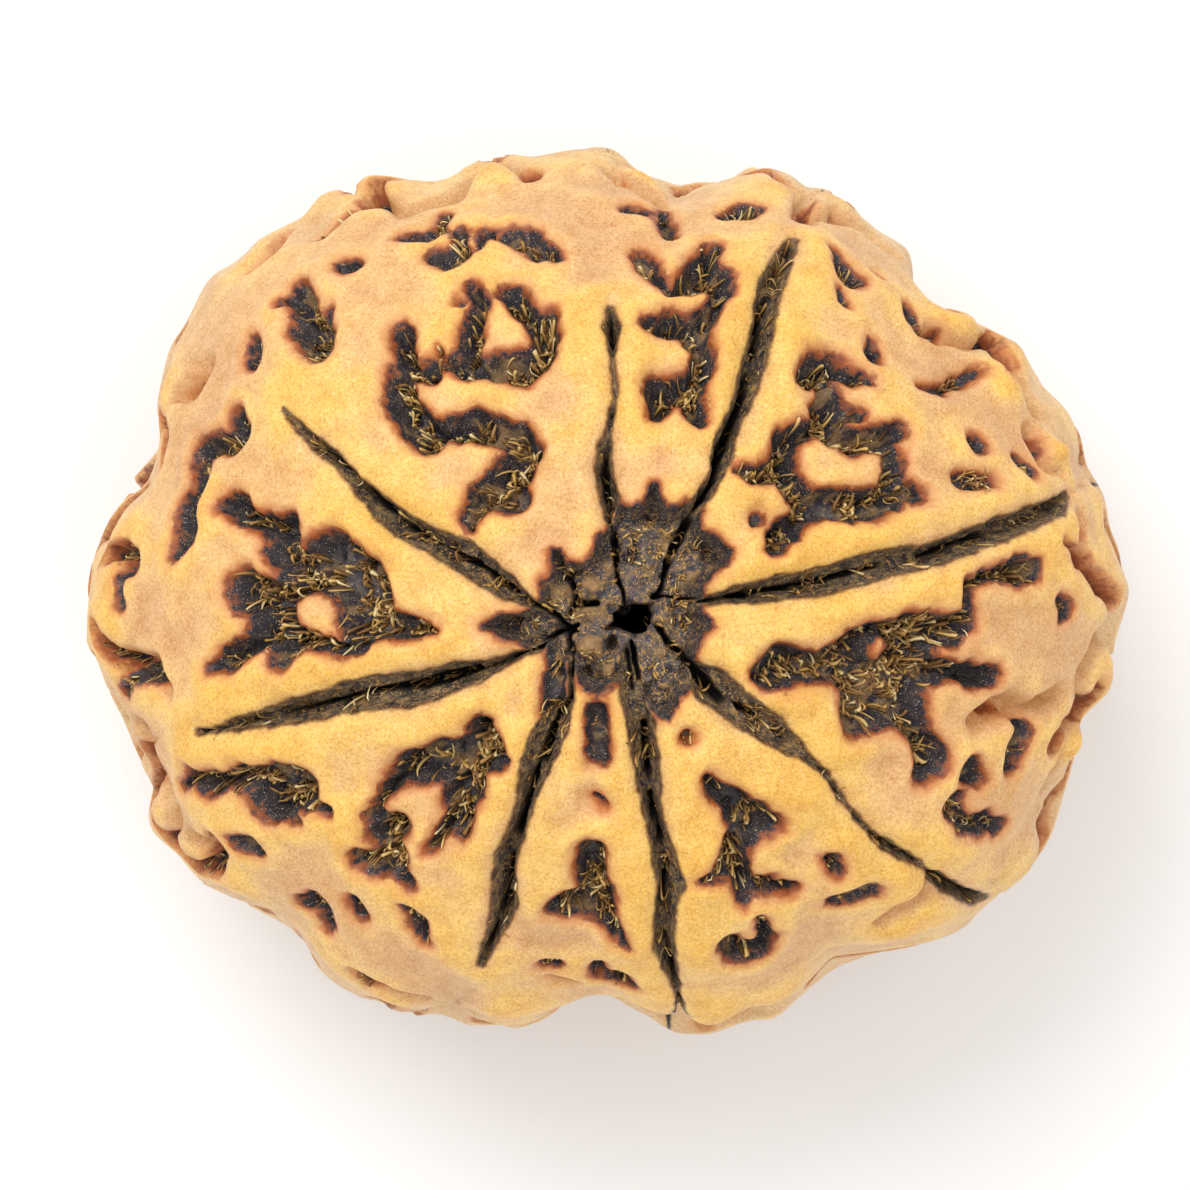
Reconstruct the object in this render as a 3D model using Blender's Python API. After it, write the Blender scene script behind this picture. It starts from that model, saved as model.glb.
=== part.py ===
"""Eight-faced rudraksha stone: the hard seed stone of the rudraksha tree, cleaned of its pulp.

Metres, +Z up. The stone lies on one pole. The other pole, where its eight clefts meet round the
mouth of its natural channel, faces up. The origin is on the surface that it rests on, under the
middle of its outline. Points and sizes below are in millimetres, read on the real stone.
"""

import math

import bmesh
import bpy
import numpy as np

MM = 0.001

# Main sizes of the stone
AXIS = (0.4, -0.45)
EQUATOR_HEIGHT = 9.25
CROWN_HEIGHT = 9.9
HEEL_DEPTH = 9.12
FULLNESS = 2.3
RIM_BLUR, SHOULDER_BLUR = 0.7, 8.0
CROWN_EDGE = 0.985
BELT_RISE, BELT_DROP = 3.0, 2.3
BELT_HOLD = 0.9
BELT_SWAY = 1.3

# Sizes of the relief. A roughness is the size of its grain and its height
UNDULATION = (2.6, 0.14)
RIPPLE = (1.1, 0.07)
SIDE_RIPPLE = (1.3, 0.16)
RAGGED_EDGE = (0.45, 0.09)
CLEFT_SHELF = 0.65
CLEFT_DEPTH = 1.6
CRACK_RADIUS = 0.13
CRACK_WALL = 0.2
CLEFT_WALL = 0.3
LIP_HEIGHT = 0.32
LIP_REACH = 0.75
HEEL_LIP_HEIGHT = 0.2
SEAM_WIDTH = 0.07
SEAM_WALL = 0.12
SEAM_TOP, SEAM_BAND = 5.0, 4.0
SEAM_ON_CROWN = 0.2
SEAM_WANDER, SEAM_WAVE = 2.0, 0.11
SEAM_DEPTH = 0.35
SEAM_VALLEY_DEPTH = 0.4
SEAM_VALLEY_WIDTH = 1.1
DEEP, MIDDLE, SHALLOW = 1.15, 0.75, 0.35
PIT_WALL = 0.32
PIT_DISH, DISH_REACH = 0.15, 0.5
PIT_MARGIN = 1.5
RIM_HEIGHT = 0.16
RIM_REACH = 0.35
PLATEAU_DEPTH = 0.7
PLATEAU_WALL = 0.35
HEEL_HOLLOW = (0.25, -0.35, 1.5)
HEEL_HOLLOW_DEPTH = 0.45
CREASE_DEPTH = 0.6
CREASE_REACH = 0.28
RIM_KNOB_HEIGHT = 0.6
SIDE_TOP, SIDE_BAND = 4.5, 4.0
RIDGE_HEIGHT = 0.8
RIDGE_ROUNDING = 0.12
RIDGE_SPACING = 2.5
RIDGE_BEND = (1.7, 0.8)
KNOB_HEIGHT = 0.5
KNOB_RADIUS = 0.85
KNOB_SPACING = 2.3
SEAM_CLEARANCE = 0.9
CROWN_PIT_CLEARANCE = 1.2
SIDE_PIT_DEPTH = 0.95
SIDE_PIT_SPACING = 1.9
SIDE_PIT_STEP = (0.4, 0.75)
SIDE_PIT_BEND = 0.9
SIDE_PIT_RADIUS = (0.14, 0.4)
KNOB_TRIES, SIDE_PIT_TRIES = 1500, 3000
KNOB_LATITUDES, SIDE_PIT_LATITUDES = (-76, 9), (-68, 14)
SIDE_SEED = 8

# The natural channel, from the crown to the heel: x, y, height, radius
CHANNEL = (
    (0.6, -0.68, 22.0, 0.5),
    (0.55, -0.66, 17.0, 0.5),
    (0.35, -0.5, 12.0, 0.42),
    (0.2, -0.3, 6.0, 0.42),
    (0.3, -0.35, -3.0, 0.48),
)
CHANNEL_FLATTENING = 0.75
CHANNEL_WAVE = 0.12
CHANNEL_SIDES = 10

SPHERE_SUBDIVISIONS = 8
TRIANGLES = 11400

# Outline seen from above, anticlockwise from the west
OUTLINE = (
    (-13.0, 0.0), (-12.8, 1.0), (-12.4, 1.9), (-12.1, 2.3), (-11.5, 2.65), (-11.07, 3.7), (-11.35, 4.5),
    (-11.25, 5.1), (-11.0, 6.1), (-10.5, 6.85), (-10.15, 7.6), (-9.9, 7.95), (-9.35, 8.15), (-8.8, 8.8),
    (-8.0, 9.15), (-7.6, 9.2), (-7.24, 9.78), (-6.6, 10.05), (-5.9, 10.3), (-4.95, 9.93), (-4.4, 9.7),
    (-3.9, 10.1), (-3.3, 10.75), (-2.5, 10.95), (-2.0, 10.85), (-1.5, 10.95), (-0.3, 11.13), (0.15, 11.07),
    (0.6, 10.57), (1.12, 10.1), (1.65, 9.62), (2.1, 10.05), (3.1, 10.35), (3.87, 10.6), (4.6, 10.37),
    (4.9, 10.06), (5.3, 10.1), (6.0, 9.78), (6.25, 9.27), (6.8, 8.88), (7.47, 8.5), (7.6, 7.6), (7.76, 7.06),
    (8.54, 7.0), (9.1, 6.68), (9.75, 6.27), (10.4, 5.75), (10.7, 5.0), (11.2, 4.68), (11.7, 4.0),
    (11.87, 3.17), (12.35, 2.4), (12.35, 1.6), (12.73, 0.7), (12.99, 0.0), (12.57, -1.25), (12.57, -1.65),
    (12.1, -2.6), (11.52, -3.2), (11.6, -3.7), (11.34, -4.9), (10.98, -6.1), (10.34, -7.2), (9.45, -7.78),
    (8.93, -8.35), (7.85, -8.75), (6.6, -8.95), (5.5, -9.1), (4.76, -10.05), (4.1, -10.65), (3.5, -10.65),
    (2.53, -11.07), (1.6, -11.03), (0.8, -10.5), (0.2, -9.86), (-0.25, -9.78), (-0.7, -9.9), (-1.55, -10.62),
    (-2.4, -10.98), (-3.0, -10.76), (-3.5, -10.83), (-4.4, -10.52), (-4.8, -10.63), (-6.05, -10.22),
    (-6.96, -9.75), (-7.6, -8.7), (-8.14, -8.03), (-9.4, -7.66), (-10.28, -7.24), (-10.77, -6.58),
    (-11.4, -6.0), (-11.52, -5.45), (-11.28, -4.88), (-11.8, -4.13), (-12.16, -3.35), (-12.6, -2.44),
    (-12.93, -1.26),
)

# The eight clefts on the crown, from the rim to the centre: x, y, half width
CLEFTS = {
    "north": (
        (0.0, 6.9, .05), (0.03, 6.35, .17), (0.05, 5.8, .04), (0.05, 5.4, .02), (0.13, 4.8, .02),
        (0.03, 4.3, .02), (-0.02, 3.95, .03), (-0.12, 3.5, .13), (-0.17, 3.1, .17), (-0.1, 2.6, .17),
        (0.0, 2.2, .17), (-0.05, 1.8, .05), (0.05, 1.5, .06), (0.12, 0.9, .1), (0.15, 0.4, .04),
    ),
    "north_north_east": (
        (4.5, 8.6, .08), (4.2, 8.1, .22), (3.9, 7.4, .27), (3.75, 6.8, .25), (3.65, 6.2, .22),
        (3.5, 5.6, .25), (3.35, 5.1, .22), (3.15, 4.5, .18), (2.95, 4.1, .15), (2.75, 3.6, .2),
        (2.65, 3.2, .2), (2.55, 2.8, .12), (2.3, 2.4, .12), (2.0, 2.0, .12), (1.75, 1.6, .15),
        (1.55, 1.2, .12), (1.45, 0.8, .03), (1.3, 0.1, .03),
    ),
    "east": (
        (11.3, 2.4, .08), (11.0, 2.1, .2), (10.3, 1.8, .23), (9.5, 1.5, .25), (8.7, 1.2, .25),
        (8.0, 0.93, .25), (7.2, 0.78, .27), (6.5, 0.62, .3), (6.0, 0.48, .32), (5.0, 0.22, .28),
        (4.0, 0.08, .25), (3.4, -0.05, .2), (3.0, -0.1, .15), (2.4, -0.2, .06), (1.9, -0.3, .05),
        (1.3, -0.35, .05),
    ),
    "south_east": (
        (9.4, -7.7, .06), (9.1, -7.6, .18), (8.7, -7.45, .18), (8.3, -7.25, .15), (8.0, -7.05, .1),
        (7.9, -6.95, .03), (7.5, -6.6, .03), (7.1, -6.4, .08), (6.7, -6.15, .1), (6.4, -5.95, .03),
        (6.0, -5.5, .03), (5.6, -5.0, .03), (5.2, -4.4, .03), (4.65, -3.95, .05), (4.4, -3.75, .2),
        (3.9, -3.35, .33), (3.3, -2.95, .35), (2.4, -2.25, .4), (2.0, -1.8, .1), (1.6, -1.5, .04),
        (1.2, -0.95, .04),
    ),
    "south": (
        (1.73, -10.5, .05), (1.73, -10.3, .13), (1.7, -10.0, .04), (1.6, -9.6, .06), (1.45, -9.1, .15),
        (1.3, -8.6, .22), (1.3, -8.0, .2), (1.35, -7.5, .22), (1.45, -7.0, .28), (1.3, -6.4, .25),
        (1.15, -5.8, .18), (1.0, -5.2, .18), (0.95, -4.7, .25), (0.85, -4.0, .28), (0.75, -3.2, .28),
        (0.55, -2.5, .25), (0.4, -1.5, .15),
    ),
    "south_south_west": (
        (-3.15, -9.1, .06), (-2.95, -8.6, .13), (-2.7, -8.1, .2), (-2.6, -7.6, .28), (-2.6, -7.1, .25),
        (-2.55, -6.5, .22), (-2.3, -5.9, .17), (-2.1, -5.3, .15), (-1.95, -4.7, .2), (-1.8, -4.2, .3),
        (-1.6, -3.7, .35), (-1.3, -3.1, .3), (-0.95, -2.6, .05), (-0.95, -2.0, .05), (-0.95, -1.3, .05),
    ),
    "west": (
        (-10.0, -3.42, .05), (-9.5, -3.35, .04), (-9.0, -3.2, .12), (-8.3, -3.05, .2), (-7.6, -2.9, .25),
        (-7.0, -2.75, .28), (-6.3, -2.55, .33), (-5.6, -2.45, .38), (-5.0, -2.4, .38), (-4.3, -2.25, .33),
        (-3.7, -2.05, .28), (-3.2, -1.95, .22), (-2.8, -1.8, .12), (-2.3, -1.55, .06), (-1.7, -1.35, .05),
        (-1.3, -1.0, .05),
    ),
    "north_west": (
        (-7.9, 4.4, .03), (-7.5, 3.95, .08), (-7.1, 3.55, .12), (-6.6, 3.2, .1), (-6.2, 2.75, .12),
        (-5.9, 2.4, .15), (-5.5, 2.0, .25), (-5.1, 1.65, .25), (-4.6, 1.35, .25), (-4.0, 1.05, .28),
        (-3.5, 0.85, .35), (-3.0, 0.45, .3), (-2.5, 0.1, .25), (-2.1, -0.15, .12), (-1.7, -0.4, .06),
        (-1.3, -0.85, .05),
    ),
}

# Longitudes in degrees at which each cleft's seam goes on down the side, crosses the equator and the heel
SEAMS = {
    "north": (96, 90, 97),
    "north_north_east": (66, 67, 58),
    "east": (15, 13, 18),
    "south_east": (-39, -38, -32),
    "south": (-82, -83, -79),
    "south_south_west": (-112, -115, -120),
    "west": (193, 194, 189),
    "north_west": (150, 153, 146),
}
SEAM_LATITUDES = (42, 30, 18, 6, -6, -18, -30, -42)
HEEL_LATITUDES = (-42, -48, -54, -60, -66, -72, -78, -83)
HEEL_CLEFT_WIDTHS = (0.05, 0.14, 0.2, 0.24, 0.26, 0.24, 0.2, 0.12)

# The dark broken plateau round the channel's mouth
PLATEAU = (
    (0.0, 1.6), (0.25, 2.05), (0.45, 1.95), (0.7, 2.05), (0.85, 2.3), (1.05, 2.6), (1.2, 2.3), (1.35, 1.95),
    (1.6, 1.95), (1.85, 2.15), (2.15, 1.9), (2.1, 1.4), (2.45, 1.35), (2.85, 1.0), (2.7, 0.6), (2.45, 0.45),
    (2.3, 0.2), (2.2, 0.0), (2.1, -0.5), (2.35, -0.85), (2.15, -1.1), (2.0, -1.5), (1.9, -2.3), (1.6, -2.5),
    (1.6, -2.75), (1.4, -3.0), (1.1, -2.95), (0.6, -2.4), (0.2, -2.1), (-0.1, -2.25), (-0.4, -2.4),
    (-0.75, -2.1), (-0.95, -1.6), (-1.3, -1.6), (-1.5, -1.25), (-2.1, -1.35), (-2.6, -1.1), (-3.15, -0.87),
    (-2.6, -0.55), (-1.9, -0.5), (-1.6, -0.2), (-1.7, 0.2), (-1.45, 0.4), (-1.4, 0.75), (-1.45, 1.05),
    (-1.25, 1.0), (-1.1, 0.7), (-0.6, 0.65), (-0.35, 0.9), (-0.2, 1.3),
)

# The pits on the crown. Each is a depth and strokes of x, y, radius, which run together
PITS = {
    "north_west_net": (DEEP, (
        ((-5.05, 6.25, .28), (-4.95, 5.75, .2), (-4.85, 5.4, .2)),
        ((-5.2, 5.3, .27), (-5.15, 4.8, .3), (-5.0, 4.4, .3), (-4.75, 4.1, .35), (-4.3, 3.7, .35)),
        ((-4.6, 5.3, .15), (-4.35, 5.35, .27)),
        ((-4.1, 3.95, .2), (-3.7, 4.0, .3), (-3.3, 4.1, .33), (-2.8, 3.95, .3), (-2.3, 3.75, .38)),
        ((-2.3, 3.75, .38), (-2.05, 3.4, .35), (-2.35, 3.0, .4), (-2.6, 2.5, .5), (-2.3, 2.2, .3)),
        ((-2.6, 2.5, .4), (-3.15, 2.2, .33), (-3.3, 1.8, .17), (-3.3, 1.5, .07)),
    )),
    "north_bay": (DEEP, (
        ((-3.3, 7.35, .12), (-3.15, 6.9, .17), (-3.3, 6.5, .15), (-3.35, 6.1, .2), (-3.4, 5.8, .3)),
        ((-4.0, 5.5, .1), (-3.4, 5.4, .2), (-2.8, 5.5, .35), (-2.2, 5.5, .35), (-1.75, 5.7, .3)),
        ((-1.75, 5.7, .3), (-1.6, 6.2, .25), (-1.7, 6.5, .3), (-1.45, 6.7, .15)),
        ((-1.7, 6.5, .25), (-2.05, 6.8, .2), (-2.25, 7.1, .25), (-2.45, 7.2, .22)),
    )),
    "north_west_shoulder": (DEEP, (
        ((-7.6, 7.5, .2), (-7.6, 7.15, .33), (-7.45, 6.8, .3), (-7.3, 6.45, .3), (-7.7, 6.4, .2)),
        ((-7.3, 6.45, .3), (-7.3, 6.1, .33), (-7.1, 5.9, .27), (-6.95, 6.4, .15), (-6.93, 6.9, .07)),
        ((-7.6, 7.15, .2), (-8.1, 7.1, .08)),
    )),
    "west_shoulder": (DEEP, (
        ((-9.2, 4.3, .2), (-9.15, 3.9, .27), (-9.3, 3.65, .2), (-9.7, 3.65, .25), (-10.15, 3.45, .33)),
        ((-10.15, 3.45, .33), (-10.1, 3.0, .3), (-10.1, 2.5, .22), (-10.4, 2.0, .38), (-10.4, 1.5, .38)),
        ((-10.4, 1.5, .38), (-10.6, 1.05, .3)),
    )),
    "west_net": (DEEP, (
        ((-9.45, 2.1, .22), (-9.15, 2.05, .27), (-8.8, 1.75, .15), (-8.35, 1.6, .2)),
        ((-8.35, 1.6, .3), (-7.95, 1.5, .38), (-8.0, 1.05, .42), (-7.8, 0.6, .3), (-7.5, 0.3, .25)),
        ((-7.8, 0.6, .3), (-7.1, 0.95, .35), (-6.65, 0.95, .43), (-6.2, 0.6, .42), (-5.85, 0.35, .4)),
        ((-5.85, 0.35, .4), (-5.85, -0.2, .45), (-5.95, -0.75, .45)),
        ((-7.5, 0.3, .25), (-7.0, 0.4, .35), (-6.4, 0.1, .45), (-6.3, -0.4, .4), (-6.2, -0.9, .4)),
        ((-5.95, -0.75, .35), (-5.5, -0.8, .3), (-5.1, -0.8, .25), (-4.7, -0.9, .17), (-4.2, -0.95, .08)),
        ((-6.1, -1.2, .25), (-6.4, -1.4, .17), (-6.8, -1.3, .12), (-7.16, -1.2, .15), (-7.6, -1.16, .22)),
        ((-7.6, -1.16, .22), (-8.03, -1.6, .27)),
        ((-9.15, 0.1, .33), (-8.85, 0.25, .27), (-8.5, 0.05, .27), (-8.1, -0.1, .22), (-7.8, 0.0, .2)),
        ((-7.8, 0.0, .2), (-7.5, 0.3, .2)),
        ((-9.0, -0.2, .35), (-8.5, -0.4, .35), (-8.5, -0.9, .4), (-8.8, -1.3, .25), (-9.3, -1.65, .22)),
        ((-9.3, -1.65, .22), (-9.7, -1.85, .1)),
        ((-8.0, -0.1, .25), (-8.0, -0.5, .25), (-7.95, -1.0, .3), (-8.0, -1.4, .3)),
    )),
    "south_west_upper": (DEEP, (
        ((-10.5, -4.85, .08), (-10.2, -4.5, .18), (-9.9, -4.75, .25), (-9.5, -4.55, .2), (-9.15, -4.6, .17)),
        ((-9.15, -4.6, .17), (-8.8, -4.5, .3), (-8.7, -4.95, .3)),
        ((-8.8, -4.5, .3), (-8.4, -4.6, .35), (-7.9, -4.6, .42), (-7.55, -4.65, .38), (-7.5, -5.0, .35)),
        ((-7.5, -5.0, .35), (-8.1, -5.1, .45), (-8.5, -5.2, .35), (-8.35, -5.5, .22)),
        ((-8.1, -5.1, .3), (-7.8, -5.5, .25)),
        ((-7.5, -5.0, .2), (-7.3, -5.15, .15), (-6.95, -5.3, .1)),
    )),
    "south_west_inner": (DEEP, (
        ((-3.15, -3.3, .28), (-3.0, -3.8, .4), (-2.75, -4.05, .27)),
        ((-3.0, -3.8, .4), (-3.4, -4.1, .45), (-4.1, -4.2, .5), (-4.8, -4.3, .42), (-5.2, -4.45, .22)),
        ((-5.2, -4.45, .22), (-5.5, -4.85, .1), (-5.7, -5.2, .08)),
        ((-3.4, -4.1, .45), (-3.5, -4.7, .4), (-3.75, -5.2, .35), (-3.65, -5.75, .27)),
        ((-3.75, -5.2, .2), (-4.1, -5.9, .07), (-4.4, -6.3, .07)),
    )),
    "south_west_lower": (DEEP, (
        ((-5.75, -5.55, .22), (-5.3, -5.75, .3), (-5.6, -6.05, .28), (-5.25, -6.5, .33), (-5.7, -6.7, .32)),
        ((-5.7, -6.7, .32), (-6.1, -6.6, .25)),
        ((-5.25, -6.5, .25), (-5.1, -6.85, .2), (-4.87, -7.2, .13)),
    )),
    "south_saddle": (DEEP, (
        ((-0.45, -6.3, .3), (-0.45, -6.8, .33), (-0.3, -7.25, .4), (-0.35, -7.65, .38), (-0.9, -7.65, .4)),
        ((-0.9, -7.65, .4), (-1.3, -7.7, .22)),
        ((-0.35, -7.65, .25), (-0.1, -7.9, .2), (0.2, -8.25, .12), (0.4, -8.5, .06)),
    )),
    "south_east_inner": (DEEP, (
        ((2.35, -4.5, .15), (2.65, -4.85, .2), (3.0, -5.25, .33), (3.4, -5.55, .42), (3.85, -5.65, .33)),
        ((3.4, -5.55, .35), (3.2, -5.9, .35), (3.0, -6.35, .3), (2.7, -6.65, .2), (2.2, -6.85, .1)),
        ((3.0, -6.35, .2), (3.1, -6.7, .2), (3.3, -7.15, .22), (3.8, -7.15, .2), (4.4, -7.25, .12)),
        ((3.3, -7.15, .15), (3.25, -7.4, .12)),
    )),
    "south_east_rim": (DEEP, (
        ((2.95, -8.55, .27), (3.15, -8.75, .3), (3.6, -8.7, .35), (3.8, -8.5, .22), (3.7, -8.1, .13)),
        ((3.7, -8.1, .13), (3.6, -7.9, .06)),
    )),
    "east_net": (DEEP, (
        ((3.75, -1.95, .38), (4.2, -1.85, .45), (4.8, -1.85, .33), (5.4, -1.8, .33), (5.9, -1.7, .4)),
        ((5.9, -1.7, .4), (5.95, -1.2, .33), (6.3, -1.0, .2), (6.9, -1.0, .2), (7.3, -0.95, .33)),
        ((7.3, -0.95, .33), (7.8, -0.95, .45), (8.3, -0.95, .4), (8.7, -0.65, .25), (8.7, -0.3, .12)),
        ((8.7, -0.3, .12), (8.7, 0.15, .1), (9.0, 0.35, .1), (9.5, 0.45, .2), (9.95, 0.47, .33)),
        ((9.95, 0.47, .33), (10.35, 0.5, .22)),
        ((7.3, -0.95, .33), (7.1, -1.4, .25), (6.9, -1.9, .4)),
        ((7.8, -0.95, .4), (7.7, -1.5, .4), (7.3, -1.9, .5)),
        ((5.9, -1.7, .4), (6.0, -2.1, .45), (6.7, -2.1, .5), (7.3, -1.9, .55), (7.7, -1.95, .4)),
        ((7.7, -1.95, .4), (8.3, -1.95, .2), (8.8, -2.05, .27), (9.4, -2.1, .17)),
        ((6.0, -2.1, .4), (5.95, -2.7, .33), (5.95, -3.15, .32), (6.4, -3.0, .4), (7.0, -2.8, .5)),
        ((7.0, -2.8, .5), (7.4, -2.6, .45), (7.45, -3.2, .4), (7.7, -3.7, .25), (7.9, -4.15, .42)),
        ((7.9, -4.15, .42), (7.7, -4.5, .25)),
    )),
    "east_hollow": (DEEP, (
        ((10.2, -3.47, .22), (10.0, -3.88, .33), (9.86, -4.29, .25)),
    )),
    "north_east_net": (DEEP, (
        ((4.75, 5.2, .22), (5.0, 5.5, .25), (5.5, 5.5, .25), (5.9, 5.25, .2), (6.3, 5.15, .1)),
        ((5.0, 5.5, .2), (5.2, 5.1, .2), (5.4, 4.7, .27), (5.7, 4.35, .27), (6.05, 4.3, .17)),
        ((5.4, 4.7, .2), (5.15, 4.4, .2), (5.5, 4.0, .33), (5.9, 3.75, .33), (6.5, 3.75, .3)),
        ((6.5, 3.75, .3), (7.0, 3.85, .22)),
        ((5.5, 4.0, .3), (5.2, 4.1, .25), (4.75, 3.95, .2), (4.3, 3.6, .25), (4.15, 3.1, .27)),
        ((4.15, 3.1, .27), (3.7, 2.8, .17), (3.3, 2.75, .12), (3.0, 2.85, .06)),
        ((4.15, 3.1, .27), (4.35, 2.75, .3), (4.6, 2.35, .3), (5.0, 2.1, .33), (5.6, 2.15, .38)),
        ((5.6, 2.15, .38), (6.2, 2.1, .38), (6.8, 2.35, .33), (7.3, 2.4, .22), (7.6, 2.35, .12)),
        ((6.8, 2.35, .3), (6.9, 2.8, .25), (6.95, 3.3, .25), (6.7, 3.6, .25)),
        ((5.0, 2.1, .25), (4.7, 1.9, .27), (4.3, 1.5, .25), (3.95, 1.2, .2), (3.8, 1.0, .1)),
    )),
    "north_upper": (DEEP, (
        ((2.5, 8.35, .22), (2.25, 7.95, .35), (1.9, 7.5, .33), (2.35, 7.6, .35), (2.8, 7.6, .2)),
        ((2.35, 7.6, .3), (2.75, 7.2, .15), (2.45, 6.8, .2)),
        ((2.45, 6.8, .2), (2.3, 6.5, .25)),
        ((0.9, 6.45, .13), (1.2, 6.4, .2), (1.6, 6.5, .35), (2.0, 6.4, .4), (2.1, 6.15, .27)),
    )),
    "north_lower": (DEEP, (
        ((2.25, 5.75, .2), (2.15, 5.3, .22), (1.9, 4.9, .33), (2.05, 4.4, .2), (2.1, 4.15, .15)),
        ((1.9, 4.9, .33), (1.25, 4.9, .3), (1.15, 4.6, .28), (1.1, 4.3, .15)),
    )),
    "north_slot": (MIDDLE, (((-2.45, 8.7, .2), (-2.05, 8.65, .27), (-1.6, 8.35, .25), (-1.35, 8.2, .13)),)),
    "north_hook": (MIDDLE, (((-4.25, 8.15, .2), (-3.9, 8.1, .27), (-3.6, 8.25, .2), (-3.7, 8.75, .15)),)),
    "north_fold": (MIDDLE, (((-4.1, 9.3, .08), (-4.2, 8.85, .17), (-4.4, 8.65, .18), (-5.1, 8.75, .08)),)),
    "dot_a": (MIDDLE, (((-6.6, 8.0, .18), (-6.4, 8.0, .18)),)),
    "dot_b": (MIDDLE, (((-8.85, 6.2, .1), (-8.8, 5.95, .17), (-8.9, 5.7, .17)),)),
    "dot_c": (MIDDLE, (((-11.96, 0.27, .1), (-11.96, -0.29, .14)),)),
    "west_rim": (MIDDLE, (
        ((-11.8, -1.9, .2), (-11.5, -2.05, .2), (-11.2, -2.1, .15), (-11.2, -1.75, .14)),
        ((-11.7, -2.15, .15), (-11.95, -2.5, .17)),
    )),
    "dot_d": (MIDDLE, (((-9.15, -6.1, .15), (-8.9, -6.2, .22), (-8.7, -6.35, .15)),)),
    "south_west_rim": (MIDDLE, (
        ((-7.58, -7.75, .2), (-7.27, -7.75, .3), (-7.07, -8.16, .17), (-7.0, -8.4, .08)),
    )),
    "dot_e": (MIDDLE, (((-6.35, -7.7, .15), (-6.15, -8.0, .17)),)),
    "slot_a": (MIDDLE, (((-4.98, -7.8, .15), (-4.8, -8.16, .22), (-4.55, -8.57, .12)),)),
    "south_cave": (DEEP, (((-0.35, -9.1, .12), (-0.2, -9.35, .15), (0.2, -9.4, .17), (0.45, -9.6, .1)),)),
    "dot_f": (MIDDLE, (((-1.6, -9.15, .12), (-1.35, -9.15, .12)),)),
    "dot_g": (MIDDLE, (((5.4, -6.5, .2), (5.5, -6.8, .2)),)),
    "slot_b": (MIDDLE, (((5.43, -7.62, .17), (5.89, -7.5, .2), (6.3, -7.3, .22)),)),
    "dot_h": (MIDDLE, (((11.1, -0.25, .15), (11.2, -0.45, .22), (11.1, -0.65, .1)),)),
    "south_east_shoulder": (MIDDLE, (
        ((8.84, -4.4, .3), (9.1, -4.6, .15)),
        ((8.58, -5.05, .12), (8.33, -5.3, .2), (8.63, -5.7, .2), (9.1, -5.72, .25), (9.6, -5.77, .2)),
    )),
    "north_east_rim": (MIDDLE, (
        ((5.5, 8.25, .12), (5.7, 7.95, .25), (5.8, 7.7, .27), (6.2, 7.65, .12)),
        ((5.6, 7.35, .08), (5.7, 7.1, .14)),
    )),
    "dot_i": (MIDDLE, (((6.45, 6.1, .08), (6.45, 5.75, .15)),)),
    "dot_j": (MIDDLE, (((9.03, 3.66, .25),), ((10.1, 3.2, .17), (10.33, 2.95, .13)))),
    "slot_c": (MIDDLE, (((0.75, 8.3, .22), (0.95, 7.9, .22), (1.2, 7.6, .2), (1.45, 7.35, .08)),)),
    "slot_d": (MIDDLE, (((1.3, 9.37, .1), (1.35, 9.07, .17), (1.45, 8.8, .08)),)),
    "slot_e": (MIDDLE, (((2.88, 9.32, .15), (3.28, 9.37, .3), (3.6, 9.37, .12)),)),
    "plateau_strip": (MIDDLE, (
        ((-0.3, -2.95, .26), (-0.3, -3.95, .2)), ((-1.35, -1.6, .2), (-1.35, -2.9, .26)),
    )),
    "hollow_a": (SHALLOW, (((-3.67, 7.03, .18),), ((-4.1, 5.75, .12),))),
    "dot_k": (MIDDLE, (((-3.05, 8.76, .22), (-3.16, 8.4, .06)),)),
    "dot_l": (MIDDLE, (((10.55, 3.8, .05), (10.6, 3.5, .08), (10.66, 3.15, .08)),)),
    "hollow_c": (SHALLOW, (((-7.16, 8.84, .17), (-6.4, 9.27, .1), (-6.1, 9.4, .08)),)),
    "hollow_d": (SHALLOW, (((1.88, -3.53, .17),), ((3.55, 1.75, .22),))),
    "hollow_e": (SHALLOW, (
        ((8.7, 2.77, .27), (9.35, 2.7, .25)),
        ((7.6, 5.07, .06), (8.2, 5.05, .14), (8.7, 5.2, .2), (9.05, 5.45, .18)),
    )),
    "hollow_f": (SHALLOW, (((4.92, 9.68, .2), (4.84, 9.27, .1)), ((6.63, 7.79, .1),))),
    "dot_m": (MIDDLE, (((0.4, 9.4, .1), (0.65, 9.4, .18), (0.85, 9.3, .08)),)),
    "slot_f": (MIDDLE, (
        ((7.27, 7.0, .07), (7.38, 6.7, .1), (7.6, 6.45, .12), (7.88, 6.34, .1), (8.19, 6.38, .06)),
    )),
    "hollow_g": (SHALLOW, (
        ((-8.13, 8.86, .08), (-8.39, 8.45, .1), (-8.8, 8.07, .08)),
        ((-10.07, 5.65, .05), (-10.22, 5.34, .1), (-10.68, 4.93, .08)),
    )),
    "hollow_h": (SHALLOW, (
        ((-6.25, -9.38, .06), (-6.05, -9.59, .08), (-5.59, -9.69, .06)),
        ((-1.5, -9.5, .05), (-1.2, -9.55, .07), (-0.85, -9.55, .05)),
    )),
    "hollow_i": (SHALLOW, (
        ((5.58, 9.4, .07), (5.94, 9.22, .1), (6.14, 9.14, .07)),
        ((-2.4, 10.4, .1), (-1.8, 10.35, .12)),
        ((0.2, 10.3, .1),),
    )),
    "hollow_j": (SHALLOW, (
        ((11.69, 1.52, .12),), ((11.87, 0.85, .07),), ((-0.4, -5.0, .12), (-0.1, -5.2, .12)),
        ((9.55, -3.05, .1), (9.85, -2.92, .14)),
    )),
}

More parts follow.
